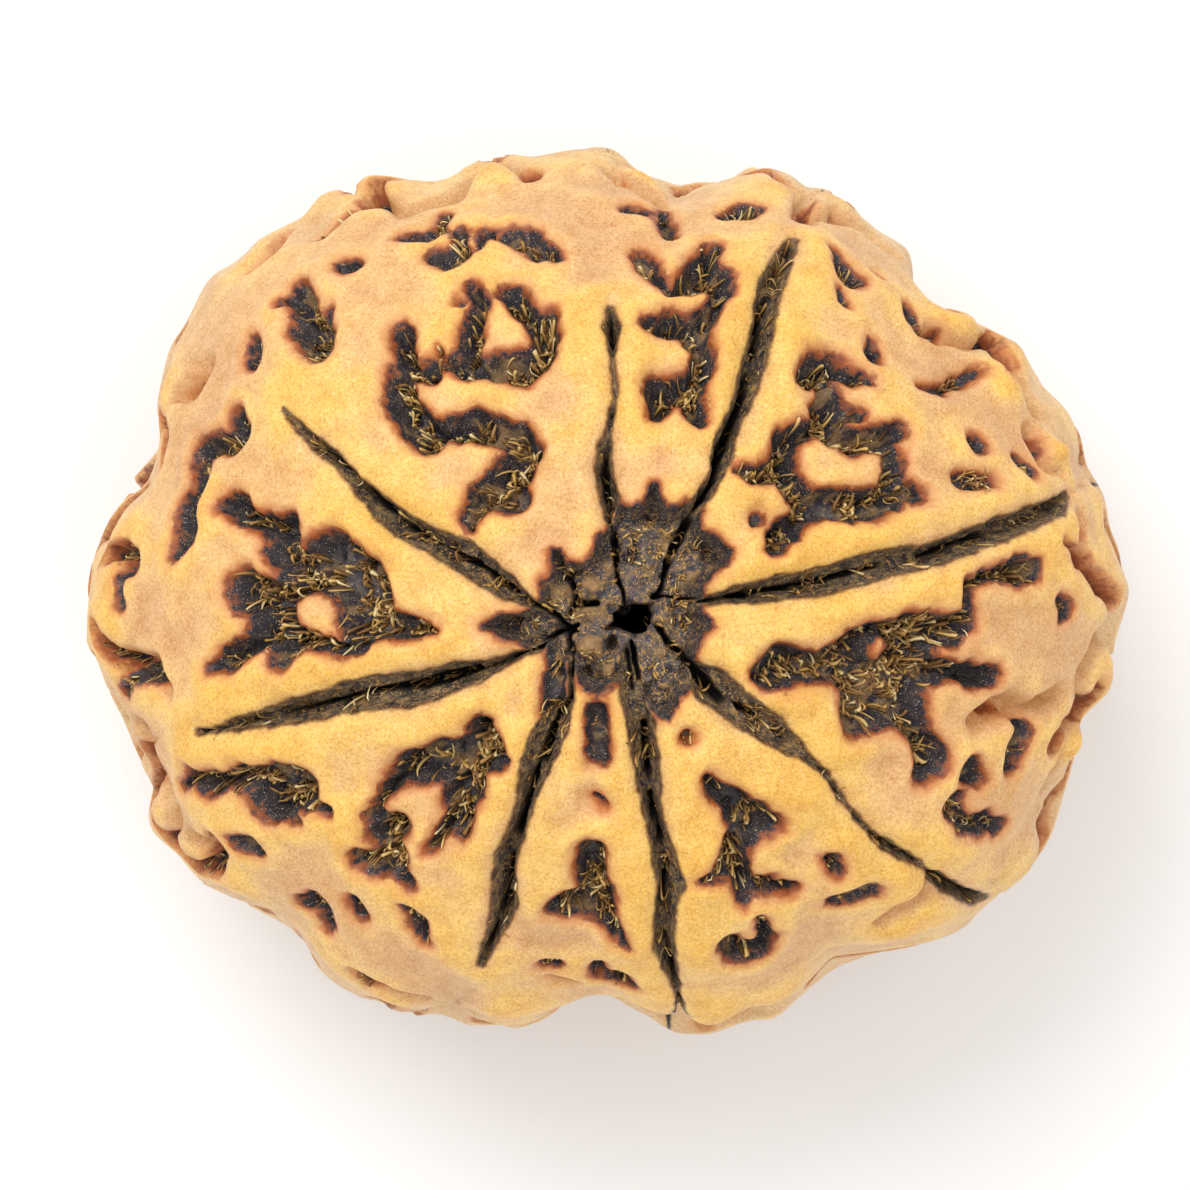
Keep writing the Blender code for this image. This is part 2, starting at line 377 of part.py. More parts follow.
# Smooth islands that stand in the nets
ISLANDS = {
    "west_net": (((-7.35, -0.3, .27), (-7.2, -0.65, .3), (-6.95, -0.95, .17)),),
    "east_net": (((6.55, -1.25, .22), (6.5, -1.6, .12)),),
    "north_east_net": (((4.8, 3.4, .3), (4.95, 3.0, .33), (5.4, 2.8, .2), (5.9, 2.8, .28), (6.3, 2.8, .33)),),
    "south_east_shoulder": (((9.14, -5.15, .35),),),
}

# Creases where the crown's ridges end above the knobs of the belt
CREASES = (
    ((-6.9, 9.95), (-6.3, 9.9), (-5.9, 9.75), (-5.1, 9.45), (-4.4, 9.65)),
    ((-3.94, 9.77), (-3.3, 10.35), (-2.64, 10.55), (-2.0, 10.2)),
    ((0.06, 10.35), (0.5, 10.15), (0.92, 10.05), (1.2, 9.65)),
    ((4.6, 10.0), (4.75, 9.6), (4.75, 9.2)),
    ((5.2, 9.4), (5.7, 9.3), (6.3, 9.0), (6.7, 8.85), (7.0, 8.5)),
    ((8.0, 6.4), (8.6, 6.2), (9.3, 6.1), (9.7, 5.45), (10.2, 5.1), (10.45, 4.6)),
    ((10.46, 3.93), (10.53, 3.53), (10.64, 3.17), (11.13, 2.99)),
    ((11.6, 1.8), (11.65, 1.2), (11.74, 0.66), (11.98, 0.19), (12.4, -0.2)),
    ((12.4, -0.9), (11.98, -1.49), (11.65, -2.1), (11.55, -2.78)),
    ((11.4, -3.3), (11.2, -3.83), (10.98, -4.5), (10.88, -5.2)),
    ((11.0, -2.6), (10.5, -2.85), (10.1, -3.1)),
    ((-11.9, -1.6), (-11.2, -1.9), (-10.9, -2.4)),
    ((-8.1, 8.9), (-8.48, 8.33), (-8.9, 8.05)),
    ((-10.05, 5.6), (-10.4, 5.1), (-10.8, 4.84)),
    ((-11.65, -3.45), (-11.4, -4.17), (-11.1, -4.9), (-10.8, -5.4), (-10.75, -6.2)),
    ((-10.17, -6.13), (-9.64, -6.37), (-9.55, -6.85)),
    ((-6.3, -9.34), (-5.53, -9.72), (-4.76, -10.0)),
    ((7.9, -7.1), (7.6, -7.5), (7.2, -7.75), (6.7, -8.15)),
    ((9.1, -3.16), (9.45, -2.9), (9.78, -2.75), (10.1, -2.8)),
)

# Round knobs round the rim of the crown: x, y, radius
RIM_KNOBS = (
    (8.5, 6.65, 0.8), (9.9, 5.85, 0.8), (9.55, 5.1, 0.6), (11.2, 4.3, 0.8), (11.0, 3.3, 0.5),
    (12.0, 2.25, 0.6), (12.3, 1.05, 0.8), (12.5, 0.14, 0.6), (12.1, -2.3, 0.8), (11.3, -3.8, 0.5),
    (10.2, -6.6, 1.0), (7.0, -8.3, 1.0), (4.2, -9.9, 0.8), (2.5, -10.3, 0.9), (-2.4, -10.2, 1.0),
    (-5.3, -9.9, 0.9), (-6.9, -9.1, 0.9), (-9.1, -7.2, 0.7), (-10.0, -6.8, 0.8), (-11.1, -5.5, 0.7),
    (-12.1, 1.4, 1.2), (-12.4, -0.6, 1.0), (-10.8, 5.3, 0.9), (-9.15, 8.0, 0.6), (-8.4, 8.7, 0.8),
    (-6.75, 9.75, 0.8), (-5.6, 9.9, 0.7), (-2.7, 10.3, 1.0), (-0.25, 10.6, 1.0), (0.85, 10.2, 0.5),
    (3.85, 9.9, 1.1), (5.5, 9.65, 0.7),
)


def smooth_step(value):
    value = np.clip(value, 0.0, 1.0)
    return value * value * (3.0 - 2.0 * value)


def smooth_low(first, second, width):
    """The lower of two distances, rounded where they meet."""
    share = np.clip(0.5 + 0.5 * (second - first) / width, 0.0, 1.0)
    return second + (first - second) * share - width * share * (1.0 - share)


def grain(points, size, seed):
    """Smooth noise from -1 to 1 on a lattice of this size."""
    place = points / size + 500.0
    cell = np.floor(place).astype(np.int64)
    part = place - cell
    part = part * part * (3.0 - 2.0 * part)
    total = np.zeros(len(points))
    for corner in range(8):
        step = np.array([corner & 1, corner >> 1 & 1, corner >> 2 & 1])
        at = cell + step
        mixed = at[:, 0] * 374761393 + at[:, 1] * 668265263 + at[:, 2] * 2147483647 + seed * 97531
        mixed = (mixed ^ (mixed >> 13)) * 1274126177 & 0xFFFFFFFF
        mixed = (mixed ^ (mixed >> 16)) & 0xFFFF
        share = np.prod(np.where(step, part, 1.0 - part), axis=1)
        total += share * (mixed / 32767.5 - 1.0)
    return total


def rough(points, roughness, seed):
    size, tall = roughness
    return tall * grain(points, size, seed)


class Form:
    """The smooth form that carries the relief: a full ellipsoid round the axis, as broad as the outline."""

    def __init__(self):
        outline = np.array(OUTLINE) - AXIS
        angle = np.arctan2(outline[:, 1], outline[:, 0])
        order = np.argsort(angle)
        self.angles = np.radians(np.arange(-180.0, 180.0, 0.5))
        radius = np.hypot(*outline.T)[order]
        rim = np.interp(self.angles, angle[order], radius, period=2 * math.pi)
        self.rim = self.blurred(rim, RIM_BLUR)
        self.shoulder = self.blurred(rim, SHOULDER_BLUR)

    def blurred(self, values, degrees_wide):
        turns = np.fft.rfftfreq(len(values), math.radians(0.5) / (2 * math.pi))
        fade = np.exp(-0.5 * (turns * math.radians(degrees_wide)) ** 2)
        return np.fft.irfft(np.fft.rfft(values) * fade, len(values))

    def rim_radius(self, angle):
        return np.interp(angle, self.angles, self.rim, period=2 * math.pi)

    def shoulder_radius(self, angle):
        return np.interp(angle, self.angles, self.shoulder, period=2 * math.pi)

    def point(self, directions):
        """Where a ray from the centre meets the smooth form, measured from the centre."""
        flat = np.hypot(directions[:, 0], directions[:, 1])
        angle = np.arctan2(directions[:, 1], directions[:, 0])
        tall = np.where(directions[:, 2] > 0, CROWN_HEIGHT, HEEL_DEPTH)
        reach = (flat / self.shoulder_radius(angle)) ** FULLNESS + np.abs(directions[:, 2] / tall) ** FULLNESS
        return directions / (reach ** (1 / FULLNESS))[:, None]

    def on_crown(self, x, y):
        """The point of the form under x, y as seen from above."""
        x, y = x - AXIS[0], y - AXIS[1]
        out = min(math.hypot(x, y) / float(self.shoulder_radius(math.atan2(y, x))), CROWN_EDGE)
        return np.array([x, y, CROWN_HEIGHT * (1 - out**FULLNESS) ** (1 / FULLNESS)])

    def on_side(self, longitude, latitude):
        """The point of the form at this longitude and latitude, in degrees."""
        turn, rise = math.radians(longitude), math.radians(latitude)
        direction = (math.cos(rise) * math.cos(turn), math.cos(rise) * math.sin(turn), math.sin(rise))
        return self.point(np.array([direction]))[0]


def stroke_distance(points, strokes, rounding=0.12):
    """Distance from each point to the nearest stroke's edge, below zero inside it."""
    nearest = np.full(len(points), 9.0)
    for stroke in strokes:
        ends = stroke[1:] or stroke
        for (start, wide), (end, wide_end) in zip(stroke, ends):
            along = end - start
            share = np.clip((points - start) @ along / max(along @ along, 1e-9), 0.0, 1.0)
            gap = np.linalg.norm(points - start - share[:, None] * along, axis=1)
            nearest = smooth_low(nearest, gap - wide - share * (wide_end - wide), rounding)
    return nearest


def near(points, strokes, margin):
    """The numbers of the points in the box round the strokes, widened by the margin."""
    places = np.array([place for stroke in strokes for place, _ in stroke])
    low, high = places.min(axis=0) - margin, places.max(axis=0) + margin
    return np.nonzero(((points > low) & (points < high)).all(axis=1))[0]


def polygon_distance(points, corners):
    """Distance to a polygon's edge in plan, below zero inside it."""
    corners = np.array(corners)
    nearest = np.full(len(points), 99.0)
    inside = np.zeros(len(points), bool)
    for start, end in zip(corners, np.roll(corners, -1, axis=0)):
        along = end - start
        share = np.clip((points - start) @ along / (along @ along), 0.0, 1.0)
        nearest = np.minimum(nearest, np.linalg.norm(points - start - share[:, None] * along, axis=1))
        crosses = (start[1] > points[:, 1]) != (end[1] > points[:, 1])
        rise = end[1] - start[1] or 1e-9
        inside ^= crosses & (points[:, 0] < start[0] + (points[:, 1] - start[1]) * along[0] / rise)
    return np.where(inside, -nearest, nearest)


def seam_strokes(form):
    """The hairline seams down the sides, and the clefts that open again round the heel."""
    seams, openings = [], []
    for high, middle, low in SEAMS.values():
        wander = [SEAM_WANDER * math.sin(SEAM_WAVE * latitude + middle) for latitude in SEAM_LATITUDES]
        longitudes = np.interp(SEAM_LATITUDES[::-1], (-42, 0, 42), (low, middle, high))[::-1] + wander
        sides = [form.on_side(*place) for place in zip(longitudes, SEAM_LATITUDES)]
        seams.append([(place, SEAM_WIDTH) for place in sides])
        heel = [form.on_side(longitudes[-1] + 0.25 * (-42 - rise), rise) for rise in HEEL_LATITUDES]
        openings.append(list(zip(heel, HEEL_CLEFT_WIDTHS)))
    return seams, openings


def line_gap(place, lines):
    """Distance from one place to the nearest point that the strokes run through, less its half width."""
    return (np.linalg.norm(lines[:, :3] - place, axis=1) - lines[:, 3]).min()


def as_rows(strokes):
    return np.array([(*place, wide) for stroke in strokes for place, wide in stroke])


def side_features(form, lines, crown_strokes):
    """Knobs and pits of the belt, sides and heel, scattered clear of the seams and of the crown's pits."""
    draw = np.random.default_rng(SIDE_SEED)
    lines, crown_strokes = as_rows(lines), as_rows(crown_strokes)
    knobs, pits = [], []

    def spot_between(latitudes):
        longitude, rise = draw.uniform(0, 360), draw.uniform(*np.sin(np.radians(latitudes)))
        return form.on_side(longitude, math.degrees(math.asin(rise)))

    for _ in range(KNOB_TRIES):
        place = spot_between(KNOB_LATITUDES)
        apart = all(math.dist(place, other[0]) > KNOB_SPACING for other in knobs)
        if apart and line_gap(place, lines) > SEAM_CLEARANCE:
            knobs.append((place, draw.uniform(0.55, 1.0) * KNOB_HEIGHT, draw.uniform(0.8, 1.2) * KNOB_RADIUS))
    for _ in range(SIDE_PIT_TRIES):
        place = spot_between(SIDE_PIT_LATITUDES)
        if line_gap(place, lines) < SEAM_CLEARANCE or line_gap(place, crown_strokes) < CROWN_PIT_CLEARANCE:
            continue
        if any(math.dist(place, other[0][0]) < SIDE_PIT_SPACING for other in pits):
            continue
        heading = draw.uniform(0, 2 * math.pi)
        stroke = [(place, draw.uniform(*SIDE_PIT_RADIUS))]
        for _ in range(draw.integers(1, 7)):
            heading += draw.uniform(-SIDE_PIT_BEND, SIDE_PIT_BEND)
            east = np.cross((0, 0, 1), place)
            east /= np.linalg.norm(east)
            north = np.cross(place, east)
            north /= np.linalg.norm(north)
            step = (east * math.cos(heading) + north * math.sin(heading)) * draw.uniform(*SIDE_PIT_STEP)
            place = form.point((place + step)[None] / np.linalg.norm(place + step))[0]
            if line_gap(place, lines) < SEAM_CLEARANCE:
                break
            stroke.append((place, draw.uniform(*SIDE_PIT_RADIUS)))
        pits.append(stroke)
    return knobs, pits


def relief(form, points):
    """Height of the surface over the smooth form at each of the form's points, in millimetres."""
    height = rough(points, UNDULATION, 1) + rough(points, RIPPLE, 2)
    ragged = rough(points, RAGGED_EDGE, 4)
    side = smooth_step((SIDE_TOP - points[:, 2]) / SIDE_BAND)
    bent = points + rough(points, RIDGE_BEND, 7)[:, None]
    winding = np.hypot(grain(bent, RIDGE_SPACING, 6), RIDGE_ROUNDING)
    height += side * (rough(points, SIDE_RIPPLE, 8) + RIDGE_HEIGHT * (0.5 - 2.0 * winding))

    clefts = [[(form.on_crown(x, y), wide) for x, y, wide in line] for line in CLEFTS.values()]
    pits = {
        name: (deep, [[(form.on_crown(x, y), wide) for x, y, wide in stroke] for stroke in strokes])
        for name, (deep, strokes) in PITS.items()
    }
    seams, openings = seam_strokes(form)
    crown_strokes = clefts + [stroke for _, strokes in pits.values() for stroke in strokes]
    knobs, side_pits = side_features(form, seams + openings, crown_strokes)

    rim_knobs = [(form.on_crown(x, y), RIM_KNOB_HEIGHT, wide) for x, y, wide in RIM_KNOBS]
    for place, tall, wide in knobs + rim_knobs:
        local = near(points, [[(place, 0.0)]], 3 * wide)
        gap = np.linalg.norm(points[local] - place, axis=1)
        height[local] += tall * np.exp(-((gap / wide) ** 2))

    for line in seams:
        local = near(points, [line], 3 * SEAM_VALLEY_WIDTH)
        gap = stroke_distance(points[local], [line])
        low = smooth_step((SEAM_TOP - points[local, 2]) / SEAM_BAND)
        share = SEAM_ON_CROWN + (1.0 - SEAM_ON_CROWN) * low
        height[local] -= share * SEAM_VALLEY_DEPTH * np.exp(-((gap / SEAM_VALLEY_WIDTH) ** 2))
        height[local] -= share * SEAM_DEPTH * smooth_step(0.5 - gap / SEAM_WALL)

    cut = np.zeros(len(points))
    lips = np.zeros(len(points))
    for line, lip in [(line, LIP_HEIGHT) for line in clefts] + [(line, HEEL_LIP_HEIGHT) for line in openings]:
        local = near(points, [line], 3 * LIP_REACH)
        gap = stroke_distance(points[local], [line])
        lips[local] = np.maximum(lips[local], lip * np.exp(-(((gap - 0.5 * LIP_REACH) / LIP_REACH) ** 2)))
        sharp = gap + 0.3 * ragged[local]
        crack = stroke_distance(points[local], [[(place, 0.0) for place, _ in line]]) - CRACK_RADIUS
        deep = CLEFT_SHELF + (CLEFT_DEPTH - CLEFT_SHELF) * smooth_step(0.5 - crack / CRACK_WALL)
        cut[local] = np.maximum(cut[local], deep * smooth_step(0.25 - sharp / CLEFT_WALL))
    height += lips

    for name, (deep, strokes) in pits.items():
        local = near(points, strokes, PIT_MARGIN)
        gap = stroke_distance(points[local], strokes) + ragged[local]
        for island in ISLANDS.get(name, ()):
            shape = [[(form.on_crown(x, y), wide) for x, y, wide in island]]
            gap = -smooth_low(-gap, stroke_distance(points[local], shape), 0.12)
        height[local] += RIM_HEIGHT * (deep / DEEP) * np.exp(-(((gap - 0.3) / RIM_REACH) ** 2))
        dish = PIT_DISH * np.clip(-gap / DISH_REACH, 0, 1)
        hollow = deep * ((1.0 - PIT_DISH) * smooth_step(0.35 - gap / PIT_WALL) + dish)
        cut[local] = np.maximum(cut[local], hollow)

    for stroke in side_pits:
        local = near(points, [stroke], PIT_MARGIN)
        gap = stroke_distance(points[local], [stroke]) + ragged[local]
        height[local] += RIM_HEIGHT * np.exp(-(((gap - 0.3) / RIM_REACH) ** 2))
        cut[local] = np.maximum(cut[local], SIDE_PIT_DEPTH * smooth_step(0.35 - gap / PIT_WALL))

    for line in CREASES:
        stroke = [(form.on_crown(x, y), 0.0) for x, y in line]
        local = near(points, [stroke], 3 * CREASE_REACH)
        gap = stroke_distance(points[local], [stroke])
        height[local] -= CREASE_DEPTH * np.exp(-((gap / CREASE_REACH) ** 2))

    crown = np.nonzero((points[:, 2] > 0) & (np.hypot(points[:, 0], points[:, 1]) < 6))[0]
    gap = polygon_distance(points[crown, :2] + AXIS, PLATEAU) + ragged[crown]
    sunk = smooth_step(0.3 - gap / PLATEAU_WALL)
    height[crown] *= 1.0 - sunk
    cut[crown] = np.maximum(cut[crown] * (1.0 - 0.3 * sunk), PLATEAU_DEPTH * sunk)

    heel = np.nonzero((points[:, 2] < 0) & (np.hypot(points[:, 0], points[:, 1]) < 4))[0]
    x, y = (points[heel, :2] + AXIS - HEEL_HOLLOW[:2]).T
    gap = np.hypot(x, y) - HEEL_HOLLOW[2] * (1.0 + 0.2 * np.sin(8 * np.arctan2(y, x))) + ragged[heel]
    sunk = smooth_step(0.3 - gap / PLATEAU_WALL)
    height[heel] *= 1.0 - sunk
    cut[heel] = np.maximum(cut[heel] * (1.0 - 0.3 * sunk), HEEL_HOLLOW_DEPTH * sunk)

    # Along the belt the outline alone sets how far the stone reaches
    angle = np.arctan2(points[:, 1], points[:, 0])
    sway = BELT_SWAY * (0.6 * np.sin(5 * angle + 1.0) + 0.4 * np.sin(11 * angle))
    above = points[:, 2] - sway
    off = above / np.where(above > 0, BELT_RISE, BELT_DROP)
    reach = form.rim_radius(angle) - form.shoulder_radius(angle)
    proud = np.maximum(height, 0.0) * np.exp(-((off / 1.5) ** 2))
    dip = np.minimum(height, 0.0) * np.exp(-((off * 3.0) ** 2))
    return height - BELT_HOLD * proud - dip + reach * np.exp(-(off**2)) - cut


def add_object(mesh, name, collection):
    obj = bpy.data.objects.new(name, mesh)
    collection.objects.link(obj)
    return obj


def make_stone(collection):
    """The stone: a fine sphere moved out to the form and its relief, thinned, still without its channel."""
    ball = bmesh.new()
    bmesh.ops.create_icosphere(ball, subdivisions=SPHERE_SUBDIVISIONS, radius=1.0)
    mesh = bpy.data.meshes.new("rudraksha_stone")
    ball.to_mesh(mesh)
    ball.free()
    spots = np.empty(len(mesh.vertices) * 3)
    mesh.vertices.foreach_get("co", spots)
    directions = spots.reshape(-1, 3)
    directions /= np.linalg.norm(directions, axis=1)[:, None]
    form = Form()
    points = form.point(directions)
    surface = points + directions * relief(form, points)[:, None] + (*AXIS, EQUATOR_HEIGHT)
    surface[:, :2] -= 0.5 * (surface.min(axis=0) + surface.max(axis=0))[:2]
    mesh.vertices.foreach_set("co", (surface * MM).ravel())
    mesh.shade_smooth()
    stone = add_object(mesh, "rudraksha_stone", collection)
    thin = stone.modifiers.new("thin", "DECIMATE")
    thin.ratio = TRIANGLES / len(mesh.polygons)
    return stone


def make_channel(collection):
    """The cutter of the natural channel, a flattened tube that wanders from pole to pole."""
    tube = bmesh.new()
    rings = []
    for x, y, height, radius in CHANNEL:
        ring = []
        for number in range(CHANNEL_SIDES):
            turn = 2 * math.pi * number / CHANNEL_SIDES
            across = radius * (1 + CHANNEL_WAVE * math.sin(3 * turn + height))
            spot = (x + across * math.cos(turn), y + CHANNEL_FLATTENING * across * math.sin(turn), height)
            ring.append(tube.verts.new([MM * value for value in spot]))
        rings.append(ring)
    for upper, lower in zip(rings, rings[1:]):
        for number in range(CHANNEL_SIDES):
            after = (number + 1) % CHANNEL_SIDES
            tube.faces.new((upper[number], lower[number], lower[after], upper[after]))
    tube.faces.new(rings[0])
    tube.faces.new(rings[-1][::-1])
    mesh = bpy.data.meshes.new("channel_cutter")
    tube.to_mesh(mesh)
    tube.free()
    return add_object(mesh, "channel_cutter", collection)


def make_ground(collection):
    """The cutter that gives the heel its small flat spot."""
    block = bmesh.new()
    bmesh.ops.create_cube(block, size=40 * MM)
    mesh = bpy.data.meshes.new("ground_cutter")
    block.to_mesh(mesh)
    block.free()
    ground = add_object(mesh, "ground_cutter", collection)
    ground.location = (0, 0, -20 * MM)
    return ground


def shell_material():
    """Dry woody shell, warm tan with a low polish."""
    material = bpy.data.materials.new("rudraksha_shell")
    material.use_nodes = True
    shader = material.node_tree.nodes["Principled BSDF"]
    shader.inputs["Base Color"].default_value = (0.78, 0.45, 0.17, 1.0)
    shader.inputs["Roughness"].default_value = 0.55
    shader.inputs["Metallic"].default_value = 0.0
    return material


def main():
    for obj in list(bpy.data.objects):
        bpy.data.objects.remove(obj)
    parts = bpy.data.collections.new("rudraksha_seed")
    cutters = bpy.data.collections.new("cutters")
    for collection in (parts, cutters):
        bpy.context.scene.collection.children.link(collection)
    stone = make_stone(parts)
    stone.data.materials.append(shell_material())
    for name, cutter in (("channel", make_channel(cutters)), ("flat_spot", make_ground(cutters))):
        cutter.hide_render = True
        cutter.display_type = "WIRE"
        cut = stone.modifiers.new(name, "BOOLEAN")
        cut.operation = "DIFFERENCE"
        cut.object = cutter


main()
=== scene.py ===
import math

import bpy
import numpy as np
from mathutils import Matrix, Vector


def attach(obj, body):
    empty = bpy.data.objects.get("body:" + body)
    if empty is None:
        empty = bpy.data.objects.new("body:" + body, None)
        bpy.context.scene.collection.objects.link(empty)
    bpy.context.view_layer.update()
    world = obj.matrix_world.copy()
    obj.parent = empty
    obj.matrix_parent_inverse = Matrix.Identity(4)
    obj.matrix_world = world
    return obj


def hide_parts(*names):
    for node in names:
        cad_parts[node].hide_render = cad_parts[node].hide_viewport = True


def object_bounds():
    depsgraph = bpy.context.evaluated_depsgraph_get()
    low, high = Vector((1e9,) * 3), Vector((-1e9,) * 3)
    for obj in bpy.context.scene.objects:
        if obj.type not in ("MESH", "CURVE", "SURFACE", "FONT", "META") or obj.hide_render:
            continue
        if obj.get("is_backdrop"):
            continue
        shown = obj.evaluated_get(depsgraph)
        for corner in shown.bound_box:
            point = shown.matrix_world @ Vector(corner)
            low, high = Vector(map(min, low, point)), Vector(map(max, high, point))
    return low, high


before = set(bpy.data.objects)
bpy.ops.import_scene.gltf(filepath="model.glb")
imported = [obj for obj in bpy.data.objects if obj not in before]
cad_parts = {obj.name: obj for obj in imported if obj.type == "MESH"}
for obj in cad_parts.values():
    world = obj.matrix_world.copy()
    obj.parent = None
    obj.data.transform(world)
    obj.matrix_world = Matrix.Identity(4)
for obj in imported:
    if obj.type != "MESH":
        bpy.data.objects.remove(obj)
cad_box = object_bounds()
bpy.ops.object.select_all(action="DESELECT")

# The stone is the hard seed stone of the rudraksha tree, one piece of dry woody shell that grew whole.
# Eight lobes meet at a cleft each, the pulp's fibres have been brushed out of a net of pits, and a
# natural channel runs from pole to pole. It is the CAD stone again, from the same points, much finer.

# Points and sizes are in millimetres, with the crown up and the origin under the outline's middle
MM = 0.001

# Main sizes of the stone
AXIS = (0.4, -0.45)
EQUATOR_HEIGHT = 9.25
CROWN_HEIGHT = 9.9
HEEL_DEPTH = 9.12
FULLNESS = 2.3
RIM_BLUR, SHOULDER_BLUR = 0.7, 8.0
CROWN_EDGE = 0.985
BELT_RISE, BELT_DROP = 3.0, 2.3
BELT_HOLD = 0.9
BELT_SWAY = 1.3
BELT_PROUD_BAND, BELT_DIP_SHARPNESS = 1.5, 3.0

# Sizes of the relief. A roughness is the size of its grain and its height
UNDULATION = (2.6, 0.14)
RIPPLE = (1.1, 0.07)
SIDE_RIPPLE = (1.3, 0.16)
RAGGED_EDGE = (0.45, 0.09)
CLEFT_SHELF = 0.65
CLEFT_DEPTH = 1.6
LIP_HEIGHT = 0.32
LIP_REACH = 0.75
HEEL_LIP_HEIGHT = 0.2
SEAM_WIDTH = 0.07
SEAM_WALL = 0.12
SEAM_TOP, SEAM_BAND = 5.0, 4.0
SEAM_ON_CROWN = 0.2
SEAM_WANDER, SEAM_WAVE = 2.0, 0.11
SEAM_DEPTH = 0.35
SEAM_VALLEY_DEPTH = 0.4
SEAM_VALLEY_WIDTH = 1.1
DEEP, MIDDLE, SHALLOW = 1.15, 0.75, 0.35
PIT_DISH, DISH_REACH = 0.15, 0.5
PIT_MARGIN = 1.5
RIM_HEIGHT = 0.16
RIM_REACH = 0.35
PLATEAU_DEPTH = 0.7
PLATEAU_WALL = 0.35
HEEL_HOLLOW = (0.25, -0.35, 1.5)
HEEL_HOLLOW_DEPTH = 0.45
CREASE_DEPTH = 0.6
CREASE_REACH = 0.28
RIM_KNOB_HEIGHT = 0.6
SIDE_TOP, SIDE_BAND = 4.5, 4.0
RIDGE_HEIGHT = 0.8
RIDGE_ROUNDING = 0.12
RIDGE_SPACING = 2.5
RIDGE_BEND = (1.7, 0.8)
KNOB_HEIGHT = 0.5
KNOB_RADIUS = 0.85
KNOB_SPACING = 2.3
SEAM_CLEARANCE = 0.9
CROWN_PIT_CLEARANCE = 1.2
SIDE_PIT_DEPTH = 0.95
SIDE_PIT_SPACING = 1.9
SIDE_PIT_STEP = (0.4, 0.75)
SIDE_PIT_BEND = 0.9
SIDE_PIT_RADIUS = (0.14, 0.4)
KNOB_TRIES, SIDE_PIT_TRIES = 1500, 3000
KNOB_LATITUDES, SIDE_PIT_LATITUDES = (-76, 9), (-68, 14)
SIDE_SEED = 8

# The natural channel, from the crown to the heel: x, y, height, radius
CHANNEL = (
    (0.6, -0.68, 22.0, 0.5),
    (0.55, -0.66, 17.0, 0.5),
    (0.35, -0.5, 12.0, 0.42),
    (0.2, -0.3, 6.0, 0.42),
    (0.3, -0.35, -3.0, 0.48),
)
CHANNEL_FLATTENING = 0.75
CHANNEL_WAVE = 0.12
CHANNEL_SIDES = 10

# How fine the mesh is
SUBDIVISIONS = 9
STONE_TRIANGLES = 190000
CHANNEL_RINGS = 24

# Finer relief than the CAD stone has, and how far each kind of edge is ragged, eased or rounded
FINE_RIPPLE = (0.5, 0.025)
FINE_RAGGED_EDGE = (0.2, 0.05)
FINE_WALL = 0.16
CLEFT_WALL_START, PIT_WALL_START = 0.25, 0.3
FINE_CREASE, FINE_CREASE_REACH = 0.15, 0.08
RIM_OFFSET = 0.3
CRACK_BREAKS = (0.6, 0.1)
FINE_CRACK_RADIUS = 0.005
FINE_CRACK_WALL = 0.08
CLEFT_RAGGEDNESS, CRACK_RAGGEDNESS = 0.3, 0.6
CRACK_MARGIN = 0.04
GAPE_EASE = 0.02
SEAM_MARK_EASE, SEAM_MARK_FADE = 0.04, 0.3
EDGE_ROUNDING = (0.2, 0.12)
ISLAND_ROUNDING = 0.12
SHALLOW_PIT_FADE, SIDE_PIT_FADE = 0.12, 0.1
BULGES = (0.85, 0.06)
LUMP_UNEVENNESS = (0.3, 0.55)
LUMP_RAGGEDNESS = 1.5
LUMP_EDGE = 0.22
PLATEAU_GRAIN = (0.18, 0.1)
PLATEAU_UNEVENNESS = 3.0
PLATEAU_CRACK_BREAKS = 0.5
POLE_EASE = 0.3
CROWN_RADIUS, HEEL_RADIUS = 6, 4
HEEL_WAVE = 0.2
PULP = (0.5, 0.17)
FINE_PULP = (0.22, 0.13)
FINEST_PULP = (0.1, 0.06)
PULP_LAYER = 0.25
PULP_CLEARANCE = 0.1
FLOOR_START, FLOOR_BAND = 0.3, 0.3
MOUTH_DEPTH = 2.6
MOUTH_RAGGEDNESS = 0.5
MOUTH_WALL = 0.2
CHANNEL_REACH = 1.3
CHANNEL_ALLOWANCE = 0.15
FAR = 9.0

